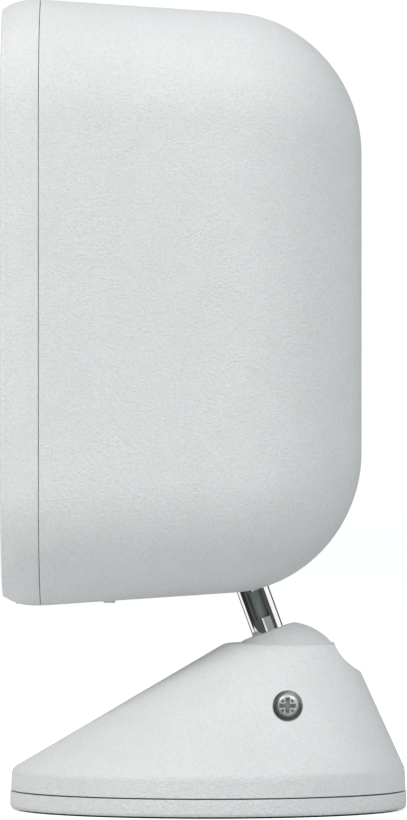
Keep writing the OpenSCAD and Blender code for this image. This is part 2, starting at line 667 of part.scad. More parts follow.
cup_top = 1.4;                                   // cup's rim above the ball's centre
cup_foot = -13.8;                                // cup's foot below the ball's centre
cup_wall = 2.14;
cup_r = ball_r + ball_fit + cup_wall;
bore_r = cup_r + ball_fit;
boss_r = bore_r + 3.2;
boss_foot = ball_z + cup_foot - 3.5;             // underside of the socket boss
module at_ball(z = 0) translate([0, ball_y, ball_z + z]) children();
module socket_cup() color("lightgray") difference() {
    at_ball(cup_foot) cylinder(r = cup_r, h = cup_top - cup_foot, $fn = 96);
    at_ball() sphere(r = ball_r + ball_fit, $fn = 96);
}

notch_y = ball_y + 24.3;
notch_z = ball_z + 14.4;
notch_w = 2 * 11.2;
fold = 62;                                       // furthest lean of the stem in the notch, from upright
post_at = [for (a = [-90, 30, 150]) [(base_r - 8) * cos(a), (base_r - 8) * sin(a)]];
module wedge(r1, z1, r2, z2) hull() {
    translate([0, 0, z1]) cylinder(r = r1, h = eps, $fn = 96);
    translate([0, ball_y, z2 - eps]) cylinder(r = r2, h = eps, $fn = 96);
}
module clamp_axis(x) translate([x, ball_y, ball_z - clamp_drop]) rotate([0, 90, 0]) children();
module stem_slot() {
    r = stem_od / 2 + 0.75;
    at_ball() rotate([-fold, 0, 0]) translate([0, 0, 12]) cylinder(r = r, h = 22);
    at_ball() rotate([90, 0, 90]) translate([0, 0, -r]) linear_extrude(2 * r)
        polygon([for (d = [[12, fold], [34, fold], [34, 25], [12, 25]])
            [d[0] * sin(d[1]), d[0] * cos(d[1])]]);
}
module base_shell() color("whitesmoke") difference() {
    union() {
        translate([0, 0, plate_z + 0.1])
            cylinder(r1 = base_r + 0.2, r2 = base_r, h = rim_z - plate_z - 0.1, $fn = 96);
        wedge(base_r, rim_z - eps, top_r, top_z);
    }
    difference() {
        union() {
            translate([0, 0, plate_z - 1])
                cylinder(r = base_r - base_wall, h = rim_z - plate_z, $fn = 96);
            wedge(base_r - base_wall, rim_z - 1 - eps, top_r - base_wall, top_z - base_wall);
        }
        translate([0, ball_y, boss_foot]) cylinder(r = boss_r, h = far);
        for (p = post_at) translate([p[0], p[1], plate_z + 2.3]) cylinder(r = 3.5, h = far);
        clamp_axis(bore_r + 1) cylinder(r = 5.5, h = 30);
    }
    translate([0, ball_y, boss_foot - 5])
        cylinder(r = bore_r, h = ball_z + cup_top + 0.3 - boss_foot + 5, $fn = 96);
    at_ball() sphere(r = ball_r + ball_fit, $fn = 96);
    translate([-notch_w / 2, notch_y, notch_z]) rotate([0, 90, 0])
        cylinder(r = notch_r, h = notch_w, $fn = 96);
    stem_slot();
    clamp_axis(clamp_seat) cylinder(r = clamp_bore_r, h = 20);
    clamp_axis(bore_r + 2) cylinder(r = m3_r + 0.1, h = 20);
    clamp_axis(bore_r - 3) cylinder(r = pad_r + pin_fit, h = 3 + 2.1);
    clamp_axis(nut_x) cylinder(r = nut_r + 0.15, h = nut_t + 0.2, $fn = 6);
    translate([nut_x, ball_y - nut_r * cos(30) - 0.15, ball_z - clamp_drop - 12])
        cube([nut_t + 0.2, 2 * nut_r * cos(30) + 0.3, 12]);
    for (p = post_at) translate([p[0], p[1], 0]) cylinder(r = m3_r, h = plate_z + 7.5);
    for (a = [60, 180, 300]) translate([0, ball_y, boss_foot - eps]) rotate(a)
        translate([bore_r + 1.6, 0, 0])
        cylinder(r = 1, h = 5);
}
pad_r = 2.2;
nut_x = bore_r + 4.2;
nut_r = 5.5 / 2 / cos(30);
nut_t = 2.4;
module pressure_pad() color("tan") clamp_axis(bore_r + 0.04) cylinder(r = pad_r, h = 1.96);
module clamp_screw() color("gray") clamp_axis(clamp_seat)
    pan_screw(m3_r, m3_head_r, 2.1, clamp_seat - bore_r - 2);
module clamp_nut() color("silver") clamp_axis(nut_x + 0.1) difference() {
    cylinder(r = nut_r, h = nut_t, $fn = 6);
    translate([0, 0, -1]) cylinder(r = m3_r, h = nut_t + 2);
}
module disc_springs() color("silver") translate([0, ball_y, boss_foot]) {
    for (f = [0, 1]) translate([0, 0, f * 3.4]) mirror([0, 0, f]) rotate_extrude()
        polygon([[9, 0.85], [9.1, 1.65], [16, 0.8], [16, 0.02]]);
}
module socket_retainer() color("lightgray") translate([0, ball_y, boss_foot - 2.4]) difference() {
    cylinder(r = boss_r, h = 2.4);
    translate([0, 0, -1]) cylinder(r = 8, h = 5);
    for (a = [60, 180, 300]) rotate(a) translate([bore_r + 1.6, 0, -1]) cylinder(r = 1, h = 5);
}
module retainer_screws() color("silver") translate([0, ball_y, boss_foot - 2.4])
    for (a = [60, 180, 300]) rotate(a) translate([bore_r + 1.6, 0, 0]) rotate([180, 0, 0])
        pan_screw(1, 1.6, 1, 6);
plate_floor = 3.2;
recess_z = 1.2;
module base_plate() color("whitesmoke") difference() {
    union() {
        translate([0, 0, foot_show]) cylinder(r1 = base_r, r2 = base_r + 0.4, h = 0.6, $fn = 96);
        translate([0, 0, foot_show + 0.6])
            cylinder(r = base_r + 0.4, h = plate_z - 0.7 - foot_show, $fn = 96);
        translate([0, 0, 2]) cylinder(r = base_r - base_wall - gap, h = plate_z, $fn = 96);
    }
    translate([0, 0, -1]) cylinder(r = foot_r + 0.1, h = recess_z + 1, $fn = 96);
    difference() {
        translate([0, 0, plate_floor]) cylinder(r = base_r - base_wall - gap - 2, h = 20, $fn = 96);
        for (x = [-1, 1]) translate([x * insert_span / 2, 0, 0]) cylinder(r = 4.8, h = plate_floor + 5.2);
        for (p = post_at) translate([p[0], p[1], 0]) cylinder(r = 4.6, h = plate_z + 2.2);
    }
    for (x = [-1, 1]) translate([x * insert_span / 2, 0, 0]) cylinder(r = 3.1, h = 20);
    for (p = post_at) translate([p[0], p[1], 0]) {
        cylinder(r = m3_r + 0.1, h = 20);
        cylinder(r = m3_head_r + 0.2, h = recess_z + 2.1);
    }
}
module mounting_inserts() color("gold") for (x = [-1, 1]) translate([x * insert_span / 2, 0, recess_z])
    difference() {
        cylinder(r = 3.1, h = 6.6);
        translate([0, 0, -1]) cylinder(r = insert_r, h = 10);
    }
module base_screws() color("silver") for (p = post_at) translate([p[0], p[1], recess_z + 2.1])
    rotate([180, 0, 0]) pan_screw(m3_r, m3_head_r, 2, 8);
module ballast_weight() color("gray") difference() {
    translate([0, 0, plate_floor + 0.05]) cylinder(r = 40, h = 6);
    for (x = [-1, 1]) translate([x * insert_span / 2, 0, 0]) cylinder(r = 5.1, h = 30);
    for (p = post_at) translate([p[0], p[1], 0]) cylinder(r = 5, h = 30);
}
module rubber_foot() color([0.25, 0.25, 0.26]) difference() {
    cylinder(r = foot_r, h = recess_z - 0.02, $fn = 96);
    for (x = [-1, 1]) translate([x * insert_span / 2, 0, -1]) cylinder(r = 3.1, h = 4);
}

rear_housing();
front_cover();
housing_seal();
inner_frame();
lens_window();
lens_bezel();
lens_glass();
lens_barrel();
image_sensor_board();
lamp_board();
infrared_lamps();
light_sensor();
motion_lens();
motion_sensor();
light_ring();
button_switch();
button_spring();
call_button();
speaker_frame();
speaker_cone();
speaker_magnet();
speaker_grille();
microphone();
microphone_boot();
main_board();
board_chips();
shield_can();
antenna();
battery_cells();
battery_cradle();
battery_contacts();
port_board();
charging_socket();
hatch_pin();
port_hatch();
housing_screws();
board_screws();
cover_screw();
stem_bracket();
bracket_screws();
stem_washer();
stem_nut();
stem();
stem_lead();
stem_retainer();
ball();
socket_cup();
base_shell();
disc_springs();
socket_retainer();
retainer_screws();
pressure_pad();
clamp_screw();
clamp_nut();
ballast_weight();
base_plate();
mounting_inserts();
base_screws();
rubber_foot();
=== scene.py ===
# %% [markdown]
# # A video doorbell on a swivelling wedge base
# The doorbell is a deep white housing with a thin front cover. It stands on a chromed stem that is
# held by a ball in a wedge-shaped base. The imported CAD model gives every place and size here, and each
# cell adds one visible piece with its finish. The CAD pieces inside the housing stay as they are.

# %% Load the frame
import json
from math import cos, pi, radians, sin, sqrt, tan
import bmesh
import bpy
from mathutils import Matrix, Vector


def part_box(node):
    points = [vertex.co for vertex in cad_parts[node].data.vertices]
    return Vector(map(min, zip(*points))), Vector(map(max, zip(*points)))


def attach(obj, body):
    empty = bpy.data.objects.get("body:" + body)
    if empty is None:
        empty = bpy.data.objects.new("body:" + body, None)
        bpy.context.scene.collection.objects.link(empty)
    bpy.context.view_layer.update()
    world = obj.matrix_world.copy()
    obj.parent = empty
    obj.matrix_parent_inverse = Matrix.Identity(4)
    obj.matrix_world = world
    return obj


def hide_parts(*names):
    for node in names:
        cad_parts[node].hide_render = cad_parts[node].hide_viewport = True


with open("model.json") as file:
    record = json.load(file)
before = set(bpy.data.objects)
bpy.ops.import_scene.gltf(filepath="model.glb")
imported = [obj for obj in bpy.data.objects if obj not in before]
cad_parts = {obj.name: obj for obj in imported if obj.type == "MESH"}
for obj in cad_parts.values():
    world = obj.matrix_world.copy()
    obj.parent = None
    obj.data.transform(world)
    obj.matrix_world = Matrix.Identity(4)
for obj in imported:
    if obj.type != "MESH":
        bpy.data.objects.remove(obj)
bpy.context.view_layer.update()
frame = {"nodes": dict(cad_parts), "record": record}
record = frame["record"]
MM = 0.001

# %% [markdown]
# ## Camera
# The doorbell is seen square from its side, from nearly two metres off through a long lens, so its
# edges stay almost parallel. The camera is level and a little below the middle of the object, which
# keeps the horizon near the lower third of the housing; a small lens shift brings the view back up.

# %% Camera
camera_data = bpy.data.cameras.new("camera")
camera = bpy.data.objects.new("camera", camera_data)
bpy.context.collection.objects.link(camera)
bpy.context.scene.camera = camera
VIEW_HEIGHT, VIEW_DISTANCE, CAMERA_HEIGHT = 205 * MM, 1790 * MM, 92 * MM
SENSOR, FAR_CLIP = 36, 50
view_middle = Vector((0, -1.2 * MM, 99.7 * MM))
camera.location = (VIEW_DISTANCE, view_middle.y, CAMERA_HEIGHT)
camera.rotation_euler = (radians(90), 0, radians(90))
camera_data.sensor_width = SENSOR
camera_data.lens = SENSOR * VIEW_DISTANCE / VIEW_HEIGHT
camera_data.shift_y = (view_middle.z - CAMERA_HEIGHT) / VIEW_HEIGHT
camera_data.clip_end = FAR_CLIP
print("lens", round(camera_data.lens, 1), "shift", round(camera_data.shift_y, 4))

# %% [markdown]
# ## Floor
# A white object on a white floor needs a floor that looks evenly white and still throws less light up
# at the back than at the front, as a floor does in front of a window. A second lamp under the floor
# could do that; here one material does it. The Light Path node gives the camera a bright plain white,
# and gives the light that bounces up to the object a white that fades from front to back.

# %% Floor
def new_object(name, bm):
    """A mesh object at the origin from a bmesh, linked to the scene."""
    mesh = bpy.data.meshes.new(name)
    bm.to_mesh(mesh)
    bm.free()
    obj = bpy.data.objects.new(name, mesh)
    bpy.context.collection.objects.link(obj)
    return obj


def new_nodes(tree, *kinds):
    """Shader nodes of these kinds, in order."""
    return [tree.nodes.new("ShaderNode" + kind) for kind in kinds]


def ramp(tree, value, low, high, to_low, to_high):
    """Carries value from low..high to to_low..to_high."""
    node, = new_nodes(tree, "MapRange")
    for key, number in (("From Min", low), ("From Max", high), ("To Min", to_low), ("To Max", to_high)):
        node.inputs[key].default_value = number
    tree.links.new(value, node.inputs["Value"])
    return node.outputs["Result"]


def camera_or_light(tree, for_camera, for_light, output):
    """Shows one shader to the camera and another to every other ray."""
    path, choice, out = new_nodes(tree, "LightPath", "MixShader", output)
    for source, target in ((path.outputs["Is Camera Ray"], choice.inputs[0]),
                           (for_light, choice.inputs[1]), (for_camera, choice.inputs[2]),
                           (choice.outputs[0], out.inputs[0])):
        tree.links.new(source, target)


FLOOR_SIZE, FADE_REACH, SEEN_WHITE, SEEN_GLOW = 6, 0.25, (0.9, 0.9, 0.9, 1), 0.5
FRONT_BOUNCE, BACK_BOUNCE = 0.98, 0.52
floor_bm = bmesh.new()
bmesh.ops.create_grid(floor_bm, x_segments=1, y_segments=1, size=FLOOR_SIZE)
floor = new_object("floor", floor_bm)
floor_paint = bpy.data.materials.new("floor_paint")
floor_paint.use_nodes = True
tree = floor_paint.node_tree
tree.nodes.clear()
seen, bounce, glow, seen_bright, coords, parts = new_nodes(
    tree, "BsdfDiffuse", "BsdfDiffuse", "Emission", "AddShader", "TexCoord", "SeparateXYZ")
seen.inputs["Color"].default_value = SEEN_WHITE
glow.inputs["Strength"].default_value = SEEN_GLOW
tree.links.new(coords.outputs["Object"], parts.inputs[0])
tree.links.new(ramp(tree, parts.outputs["Y"], -FADE_REACH, FADE_REACH, FRONT_BOUNCE, BACK_BOUNCE),
               bounce.inputs["Color"])
tree.links.new(seen.outputs[0], seen_bright.inputs[0])
tree.links.new(glow.outputs[0], seen_bright.inputs[1])
camera_or_light(tree, seen_bright.outputs[0], bounce.outputs[0], "OutputMaterial")
floor.data.materials.append(floor_paint)
print("floor", 2 * FLOOR_SIZE, "m across, bounce", FRONT_BOUNCE, "to", BACK_BOUNCE)

# %% [markdown]
# ## Surround
# The air around the object is a soft light of its own. As with the floor, the camera sees plain white
# and the object gets a light that weakens towards the back. That slow change is what shows the
# housing's rounding, because the object is white on white.

# %% Surround
FRONT_AIR, BACK_AIR, AIR_COLOUR, SEEN_AIR = 0.64, 0.47, (0.94, 1, 1.005, 1), 1.05
world = bpy.data.worlds.new("studio")
bpy.context.scene.world = world
world.use_nodes = True
tree = world.node_tree
tree.nodes.clear()
air, white, coords, parts = new_nodes(tree, "Background", "Background", "TexCoord", "SeparateXYZ")
air.inputs["Color"].default_value = AIR_COLOUR
white.inputs["Color"].default_value = (1, 1, 1, 1)
white.inputs["Strength"].default_value = SEEN_AIR
tree.links.new(coords.outputs["Generated"], parts.inputs[0])
tree.links.new(ramp(tree, parts.outputs["Y"], -1, 1, FRONT_AIR, BACK_AIR), air.inputs["Strength"])
camera_or_light(tree, white.outputs[0], air.outputs[0], "OutputWorld")
print("surround", FRONT_AIR, "in front,", BACK_AIR, "behind")

# %% [markdown]
# ## Lights
# Two square area lights give the grain its small shadows: a key high in front of the face, and a fill
# high behind the camera's shoulder. Lights a third to half a metre across keep the shadows soft.


# %% Lights
def soft_light(name, place, target, size, watts, colour):
    """A square area light that faces its target."""
    data = bpy.data.lights.new(name, "AREA")
    data.shape, data.size, data.energy, data.color = "SQUARE", size, watts, colour
    light = bpy.data.objects.new(name, data)
    bpy.context.collection.objects.link(light)
    light.location = place
    light.rotation_euler = (Vector(place) - Vector(target)).to_track_quat("Z", "Y").to_euler()


LIGHT_TARGET = (0, 0, 0.1)
soft_light("key", (0.70, -0.78, 1.1), LIGHT_TARGET, 0.45, 9.4, (1.0, 0.94, 0.93))
soft_light("back_fill", (0.76, 0.72, 1.1), LIGHT_TARGET, 0.3, 7.8, (0.98, 1.0, 1.0))
bpy.context.scene.view_settings.view_transform = "Standard"
print(len(bpy.data.lights), "lights")

# %% [markdown]
# ## Cards for the chrome
# Chrome shows only what stands around it, and in an all-white studio it would be white. Photographers
# stand black and white strips round a chromed piece for this. Here they are strips of a large ring,
# lit by their own paint and visible to reflections only, so they change nothing else.


# %% Cards for the chrome
def card(name, shade, azimuths, low, high):
    """A strip of a ring that only reflections see; azimuth 0 is beside the object, 90 behind it.
    low and high are (distance from the middle, height) of its two edges."""
    start, end = (radians(a) for a in azimuths)
    bm = bmesh.new()
    points = [bm.verts.new((reach * cos(start), reach * sin(start), height))
              for reach, height in (low, high)]
    edge = bm.edges.new(points)
    bmesh.ops.spin(bm, geom=points + [edge], cent=(0, 0, 0), axis=(0, 0, 1), angle=end - start, steps=12)
    obj = new_object(name, bm)
    paint = bpy.data.materials.new(name)
    paint.use_nodes = True
    paint.node_tree.nodes.clear()
    light, out = new_nodes(paint.node_tree, "Emission", "OutputMaterial")
    light.inputs["Strength"].default_value = shade
    paint.node_tree.links.new(light.outputs[0], out.inputs[0])
    obj.data.materials.append(paint)
    obj.visible_camera = obj.visible_diffuse = obj.visible_shadow = obj.visible_transmission = False


NEAR, FAR, TALL, LOW = 0.10, 1.0, 0.7, 0.0006
BEHIND = ((0.36, (2, 53)), (0.09, (53, 84)), (1.15, (84, 135)), (0.02, (135, 180)))
BEFORE = ((0.09, (-70, -8)), (0.03, (-112, -70)), (1.15, (-143, -112)), (0.02, (-180, -148)))
for i, (shade, azimuths) in enumerate(BEHIND):
    card(f"wall_card_{i}", shade, azimuths, (FAR, 0), (FAR, TALL))
for i, (shade, azimuths) in enumerate(BEFORE):
    card(f"floor_card_{i}", shade, azimuths, (NEAR, LOW), (FAR, LOW))
    card(f"front_card_{i}", shade, azimuths, (FAR, 0), (FAR, TALL / 2))
print(len(BEHIND) + 2 * len(BEFORE), "cards")

# %% [markdown]
# ## Finishes
# Each finish is a small node tree on Object coordinates, so its pattern is fixed to the piece and keeps
# its real size in metres. A picture texture would need unwrapped pieces and would blur close up. These
# helpers each add one step of such a tree and give back the socket that the next step reads.


# %% Finish helpers
FINISH = {}


def start_finish(name, colour, roughness, metallic=0.0, specular=0.5):
    """A Principled material with Object coordinates, filed under its slot's name."""
    material = bpy.data.materials.new(name)
    material.use_nodes = True
    tree = material.node_tree
    shader = tree.nodes["Principled BSDF"]
    shader.inputs["Base Color"].default_value = (*colour, 1)
    shader.inputs["Roughness"].default_value = roughness
    shader.inputs["Metallic"].default_value = metallic
    shader.inputs["Specular IOR Level"].default_value = specular
    coords, = new_nodes(tree, "TexCoord")
    FINISH[name] = material
    return tree, shader, coords.outputs["Object"]


def noise(tree, vector, scale, detail, rough=0.55):
    """Soft noise, scale to a metre."""
    node = tree.nodes.new("ShaderNodeTexNoise")
    node.inputs["Scale"].default_value = scale
    node.inputs["Detail"].default_value = detail
    node.inputs["Roughness"].default_value = rough
    tree.links.new(vector, node.inputs["Vector"])
    return node.outputs["Fac"]


def blend_colours(tree, factor, first, second):
    """A colour between first and second."""
    node = tree.nodes.new("ShaderNodeMix")
    node.data_type = "RGBA"
    node.inputs[6].default_value = (*first, 1)
    node.inputs[7].default_value = (*second, 1)
    tree.links.new(factor, node.inputs[0])
    return node.outputs[2]


def calculate(tree, kind, a, b):
    """One Math node on two sockets or numbers."""
    node = tree.nodes.new("ShaderNodeMath")
    node.operation = kind
    for socket, value in zip(node.inputs, (a, b)):
        if isinstance(value, (int, float)):
            socket.default_value = value
        else:
            tree.links.new(value, socket)
    return node.outputs[0]


def bump(tree, shader, height, depth):
    """Turns a height of 0 to 1 into relief of a real depth."""
    node = tree.nodes.new("ShaderNodeBump")
    node.inputs["Distance"].default_value = depth
    tree.links.new(height, node.inputs["Height"])
    tree.links.new(node.outputs["Normal"], shader.inputs["Normal"])


print("finish helpers ready")

# %% [markdown]
# ## White shells
# The shells are moulded in a mould whose walls were etched by sparks, which leaves soft pebbles a
# little under half a millimetre across. Smooth cells, bent by noise so that they never line up, give
# the pebbles, and finer noise roughens them. The colour carries painted shade: it is a little darker
# in the pits and a little lighter on the crests.


# %% White shells: leathery moulded plastic
def leathery(name, colour, cell, depth, roughness):
    """Moulded white plastic: soft pebbles, fine noise between them, painted shade in the pits, and faint
    clouding of the white.
    """
    tree, shader, place = start_finish(name, colour, roughness, specular=0.4)
    cells = tree.nodes.new("ShaderNodeTexVoronoi")
    cells.feature = "SMOOTH_F1"
    cells.inputs["Scale"].default_value = 1 / cell
    cells.inputs["Smoothness"].default_value = 0.7
    warp = tree.nodes.new("ShaderNodeTexNoise")
    warp.inputs["Scale"].default_value = 0.8 / cell
    tree.links.new(place, warp.inputs["Vector"])
    shift = tree.nodes.new("ShaderNodeVectorMath")
    shift.operation = "MULTIPLY_ADD"
    shift.inputs[1].default_value = (cell,) * 3
    tree.links.new(warp.outputs["Color"], shift.inputs[0])
    tree.links.new(place, shift.inputs[2])
    tree.links.new(shift.outputs[0], cells.inputs["Vector"])
    coarse = noise(tree, place, 0.55 / cell, detail=2)
    fine = noise(tree, place, 3.2 / cell, detail=4, rough=0.6)
    height = calculate(tree, "MULTIPLY_ADD", cells.outputs["Distance"], -0.8)
    tree.links.new(calculate(tree, "MULTIPLY", fine, 0.35), height.node.inputs[2])
    height = calculate(tree, "ADD", height, coarse)
    bump(tree, shader, height, depth)
    cloud = noise(tree, place, 45, detail=2)
    # Painted shade: the colour darkens in the pits and lightens on the crests, mixed with random clouding
    # of the white.
    pit_shade_and_cloud = calculate(tree, "ADD", ramp(tree, height, 0.0, 0.9, 1, 0),
                     ramp(tree, cloud, 0.3, 0.7, -0.15, 0.15))
    lit, pit = (tuple(c * share for c in colour) for share in (1.04, 0.9))
    tree.links.new(blend_colours(tree, pit_shade_and_cloud, lit, pit), shader.inputs["Base Color"])
    uneven = calculate(tree, "ADD", fine, cloud)
    tree.links.new(ramp(tree, uneven, 0.7, 1.3, roughness - 0.06, roughness + 0.08),
                   shader.inputs["Roughness"])


WHITE, PEBBLE = (0.70, 0.71, 0.715), 0.43 * MM
leathery("shell_white", WHITE, PEBBLE, 0.19 * MM, 0.52)
leathery("cover_white", WHITE, PEBBLE, 0.175 * MM, 0.5)
print("white finishes with pebbles of", PEBBLE / MM, "mm")

# %% [markdown]
# ## Painted shade in the clamp screw's hole
# The hole that holds the clamp screw is deep and narrow, and the shade inside it looks nearly black.
# The soft studio light would leave it pale, so painted shade turns the white finish a dull dark grey
# within a cylinder round the screw.


# %% Painted shade inside the hole
def paint_hole_shade(name, low, high, radius, colour):
    """Paints shade into a finish: a dull dark colour in a round hole along X, from low.x outwards."""
    tree = FINISH[name].node_tree
    base = tree.nodes["Principled BSDF"].inputs["Base Color"]
    coords, parts, mix = new_nodes(tree, "TexCoord", "SeparateXYZ", "Mix")
    tree.links.new(coords.outputs["Object"], parts.inputs[0])
    middle = (low + high) / 2
    across = calculate(tree, "SUBTRACT", parts.outputs["Y"], middle.y)
    up = calculate(tree, "SUBTRACT", parts.outputs["Z"], middle.z)
    square = calculate(tree, "ADD", calculate(tree, "MULTIPLY", across, across),
                       calculate(tree, "MULTIPLY", up, up))
    inside = calculate(tree, "LESS_THAN", square, radius ** 2)
    outwards = calculate(tree, "GREATER_THAN", parts.outputs["X"], low.x)
    mix.data_type = "RGBA"
    tree.links.new(calculate(tree, "MULTIPLY", inside, outwards), mix.inputs[0])
    tree.links.new(base.links[0].from_socket, mix.inputs[6])
    mix.inputs[7].default_value = (*colour, 1)
    tree.links.new(mix.outputs[2], base)


# Painted shade: the shell's white finish is darkened inside the clamp screw's hole.
PAINTED_SHADE_R, PAINTED_HOLE_SHADE = 3.75 * MM, (0.36, 0.385, 0.39)
paint_hole_shade("shell_white", *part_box("clamp_screw"), PAINTED_SHADE_R, PAINTED_HOLE_SHADE)
print("dark within", PAINTED_SHADE_R / MM, "mm of the clamp screw's axis")

# %% [markdown]
# ## Plain finishes
# Everything else has one kind of finish with its own numbers: fine noise in its height, and slow
# changes in colour and gloss, so that no surface is perfectly even.


# %% Plain finishes
def plain(name, colour, roughness, grain, depth, metallic=0.0, change=0.85, specular=0.5):
    """A finish with fine noise of one size in its height, and slow changes in its colour and gloss."""
    tree, shader, place = start_finish(name, colour, roughness, metallic, specular)
    fine = noise(tree, place, 1 / grain, detail=4)
    cloud = noise(tree, place, 90, detail=3)
    bump(tree, shader, fine, depth)
    other = tuple(c * change for c in colour)
    tree.links.new(blend_colours(tree, ramp(tree, cloud, 0.35, 0.65, 0, 1), colour, other),
                   shader.inputs["Base Color"])
    uneven = calculate(tree, "ADD", fine, cloud)
    tree.links.new(ramp(tree, uneven, 0.7, 1.3, roughness * 0.85, min(1, roughness * 1.2)),
                   shader.inputs["Roughness"])
    return shader


plain("seal_black", (0.03, 0.03, 0.032), 0.8, 0.3 * MM, 0.02 * MM)
plain("black_plastic", (0.03, 0.03, 0.033), 0.5, 0.25 * MM, 0.02 * MM)
plain("lamp_dark", (0.06, 0.02, 0.06), 0.12, 2 * MM, 0.001 * MM)
plain("motion_white", (0.72, 0.74, 0.75), 0.4, 0.5 * MM, 0.01 * MM, change=0.97)
plain("frame_grey", (0.4, 0.41, 0.42), 0.55, 0.3 * MM, 0.02 * MM)
plain("board_green", (0.01, 0.12, 0.045), 0.35, 0.4 * MM, 0.01 * MM)
plain("contact_gold", (0.75, 0.5, 0.2), 0.28, 0.2 * MM, 0.004 * MM, metallic=1)
plain("insert_brass", (0.72, 0.48, 0.2), 0.35, 0.2 * MM, 0.006 * MM, metallic=1)
plain("battery_blue", (0.03, 0.1, 0.32), 0.25, 1 * MM, 0.004 * MM)
plain("steel", (0.55, 0.55, 0.56), 0.32, 0.2 * MM, 0.004 * MM, metallic=1)
plain("bracket_metal", (0.6, 0.61, 0.62), 0.45, 0.4 * MM, 0.02 * MM, metallic=1)
plain("lead_grey", (0.33, 0.375, 0.375), 0.75, 0.3 * MM, 0.22 * MM, change=0.7)
plain("pad_nylon", (0.55, 0.48, 0.36), 0.5, 0.4 * MM, 0.01 * MM)
plain("ballast_iron", (0.13, 0.13, 0.135), 0.7, 0.7 * MM, 0.08 * MM, metallic=0.6)
plain("foot_rubber", (0.045, 0.045, 0.047), 0.85, 0.35 * MM, 0.03 * MM)
plain("chrome", (0.8, 0.81, 0.82), 0.045, 3 * MM, 0.002 * MM, metallic=1, change=0.97)
plain("screw_steel", (0.64, 0.66, 0.65), 0.36, 0.16 * MM, 0.01 * MM, metallic=0.4)
window = plain("window_black", (0.004, 0.004, 0.006), 0.06, 4 * MM, 0.001 * MM, specular=0.35)
window.inputs["Coat Weight"].default_value = 0.25
window.inputs["Coat Roughness"].default_value = 0.02
guide = plain("light_ring", (0.66, 0.75, 0.8), 0.3, 0.3 * MM, 0.006 * MM, change=0.95)
guide.inputs["Subsurface Weight"].default_value = 0.2
guide.inputs["Subsurface Radius"].default_value = (0.002, 0.002, 0.002)
guide.inputs["Subsurface Scale"].default_value = 1
glass = plain("lens_glass", (0.25, 0.3, 0.5), 0.02, 3 * MM, 0.0005 * MM)
glass.inputs["Transmission Weight"].default_value = 0.85
glass.inputs["Coat Weight"].default_value = 0.7
print(len(FINISH), "finishes")

# %% [markdown]
# ## Finishes on the CAD pieces
# The record names a finish for every CAD piece. Those that a Blender piece replaces later are hidden
# by it; the others, mostly inside, keep their shape and show this finish.

# %% Finishes on the CAD pieces
for part in record["subparts"]:
    node = frame["nodes"][part["node"]]
    node.data.materials.clear()
    node.data.materials.append(FINISH[part["material_slot"]])
print(len(record["subparts"]), "CAD pieces have their finish")

# %% [markdown]
# ## Ways of making pieces
# Three ways cover most pieces. A lofted piece starts as one loop of edges, which is extruded and moved
# from section to section. A turned piece is a profile spun about an axis. A carved piece has tools
# taken away from it with the Boolean modifier, whose result then becomes the mesh.


# %% Loft, spin and carve
def loft(rings):
    """Extrudes a loop of edges through rings of points, and caps both ends."""
    bm = bmesh.new()
    loop = [bm.verts.new(p) for p in rings[0]]
    edges = [bm.edges.new((loop[i - 1], loop[i])) for i in range(len(loop))]
    bmesh.ops.edgeloop_fill(bm, edges=edges)
    for ring in rings[1:]:
        made = bmesh.ops.extrude_edge_only(bm, edges=edges)["geom"]
        fresh = {g for g in made if isinstance(g, bmesh.types.BMVert)}
        loop = [next(e.other_vert(v) for e in v.link_edges if e.other_vert(v) in fresh) for v in loop]
        edges = [g for g in made if isinstance(g, bmesh.types.BMEdge)
                 and all(v in fresh for v in g.verts)]
        for vert, point in zip(loop, ring):
            vert.co = point
    bmesh.ops.edgeloop_fill(bm, edges=edges)
    return bm


def softened(points, radii, steps=4, closed=False):
    """Rounds the corners of a profile; radii is one length, or one for each point."""
    out, count = [], len(points)
    points = [Vector(p) for p in points]
    for i, p in enumerate(points):
        r = radii[i] if isinstance(radii, (list, tuple)) else radii
        if r == 0 or (not closed and i in (0, count - 1)):
            out.append(p)
            continue
        a, b = points[i - 1], points[(i + 1) % count]
        start = p + (a - p).normalized() * min(r, (a - p).length * 0.49)
        end = p + (b - p).normalized() * min(r, (b - p).length * 0.49)
        for k in range(steps + 1):
            t = k / steps
            out.append(start * (1 - t) ** 2 + p * 2 * t * (1 - t) + end * t * t)
    return out


def turned(profile, place=Matrix(), steps=96, closed=False):
    """Spins a profile of (radius, height) points about the axis of place."""
    made = bmesh.new()
    verts = [made.verts.new((p[0], 0, p[1])) for p in profile]
    edges = [made.edges.new((verts[i - 1], verts[i])) for i in range(0 if closed else 1, len(verts))]
    bmesh.ops.spin(made, geom=verts + edges, cent=(0, 0, 0), axis=(0, 0, 1), angle=2 * pi,
                   steps=steps, use_merge=True)
    bmesh.ops.remove_doubles(made, verts=made.verts, dist=1e-8)
    bmesh.ops.transform(made, matrix=place, verts=made.verts)
    bmesh.ops.recalc_face_normals(made, faces=made.faces)
    return made


def along(origin, direction):
    """A place whose own Z runs in a direction."""
    return Matrix.Translation(origin) @ Vector(direction).to_track_quat("Z", "Y").to_matrix().to_4x4()


def carve(bm, *tools):
    """Takes tools, each a bmesh, away from bm with Boolean modifiers and returns the result."""
    bmesh.ops.recalc_face_normals(bm, faces=bm.faces)
    body = new_object("carved", bm)
    cutters = []
    for tool in tools:
        bmesh.ops.recalc_face_normals(tool, faces=tool.faces)
        cutters.append(new_object("tool", tool))
        step = body.modifiers.new("cut", "BOOLEAN")
        step.operation, step.solver, step.object = "DIFFERENCE", "EXACT", cutters[-1]
    evaluated = body.evaluated_get(bpy.context.evaluated_depsgraph_get())
    result = bmesh.new()
    result.from_mesh(evaluated.data)
    for obj in [body] + cutters:
        mesh = obj.data
        bpy.data.objects.remove(obj)
        bpy.data.meshes.remove(mesh)
    return result


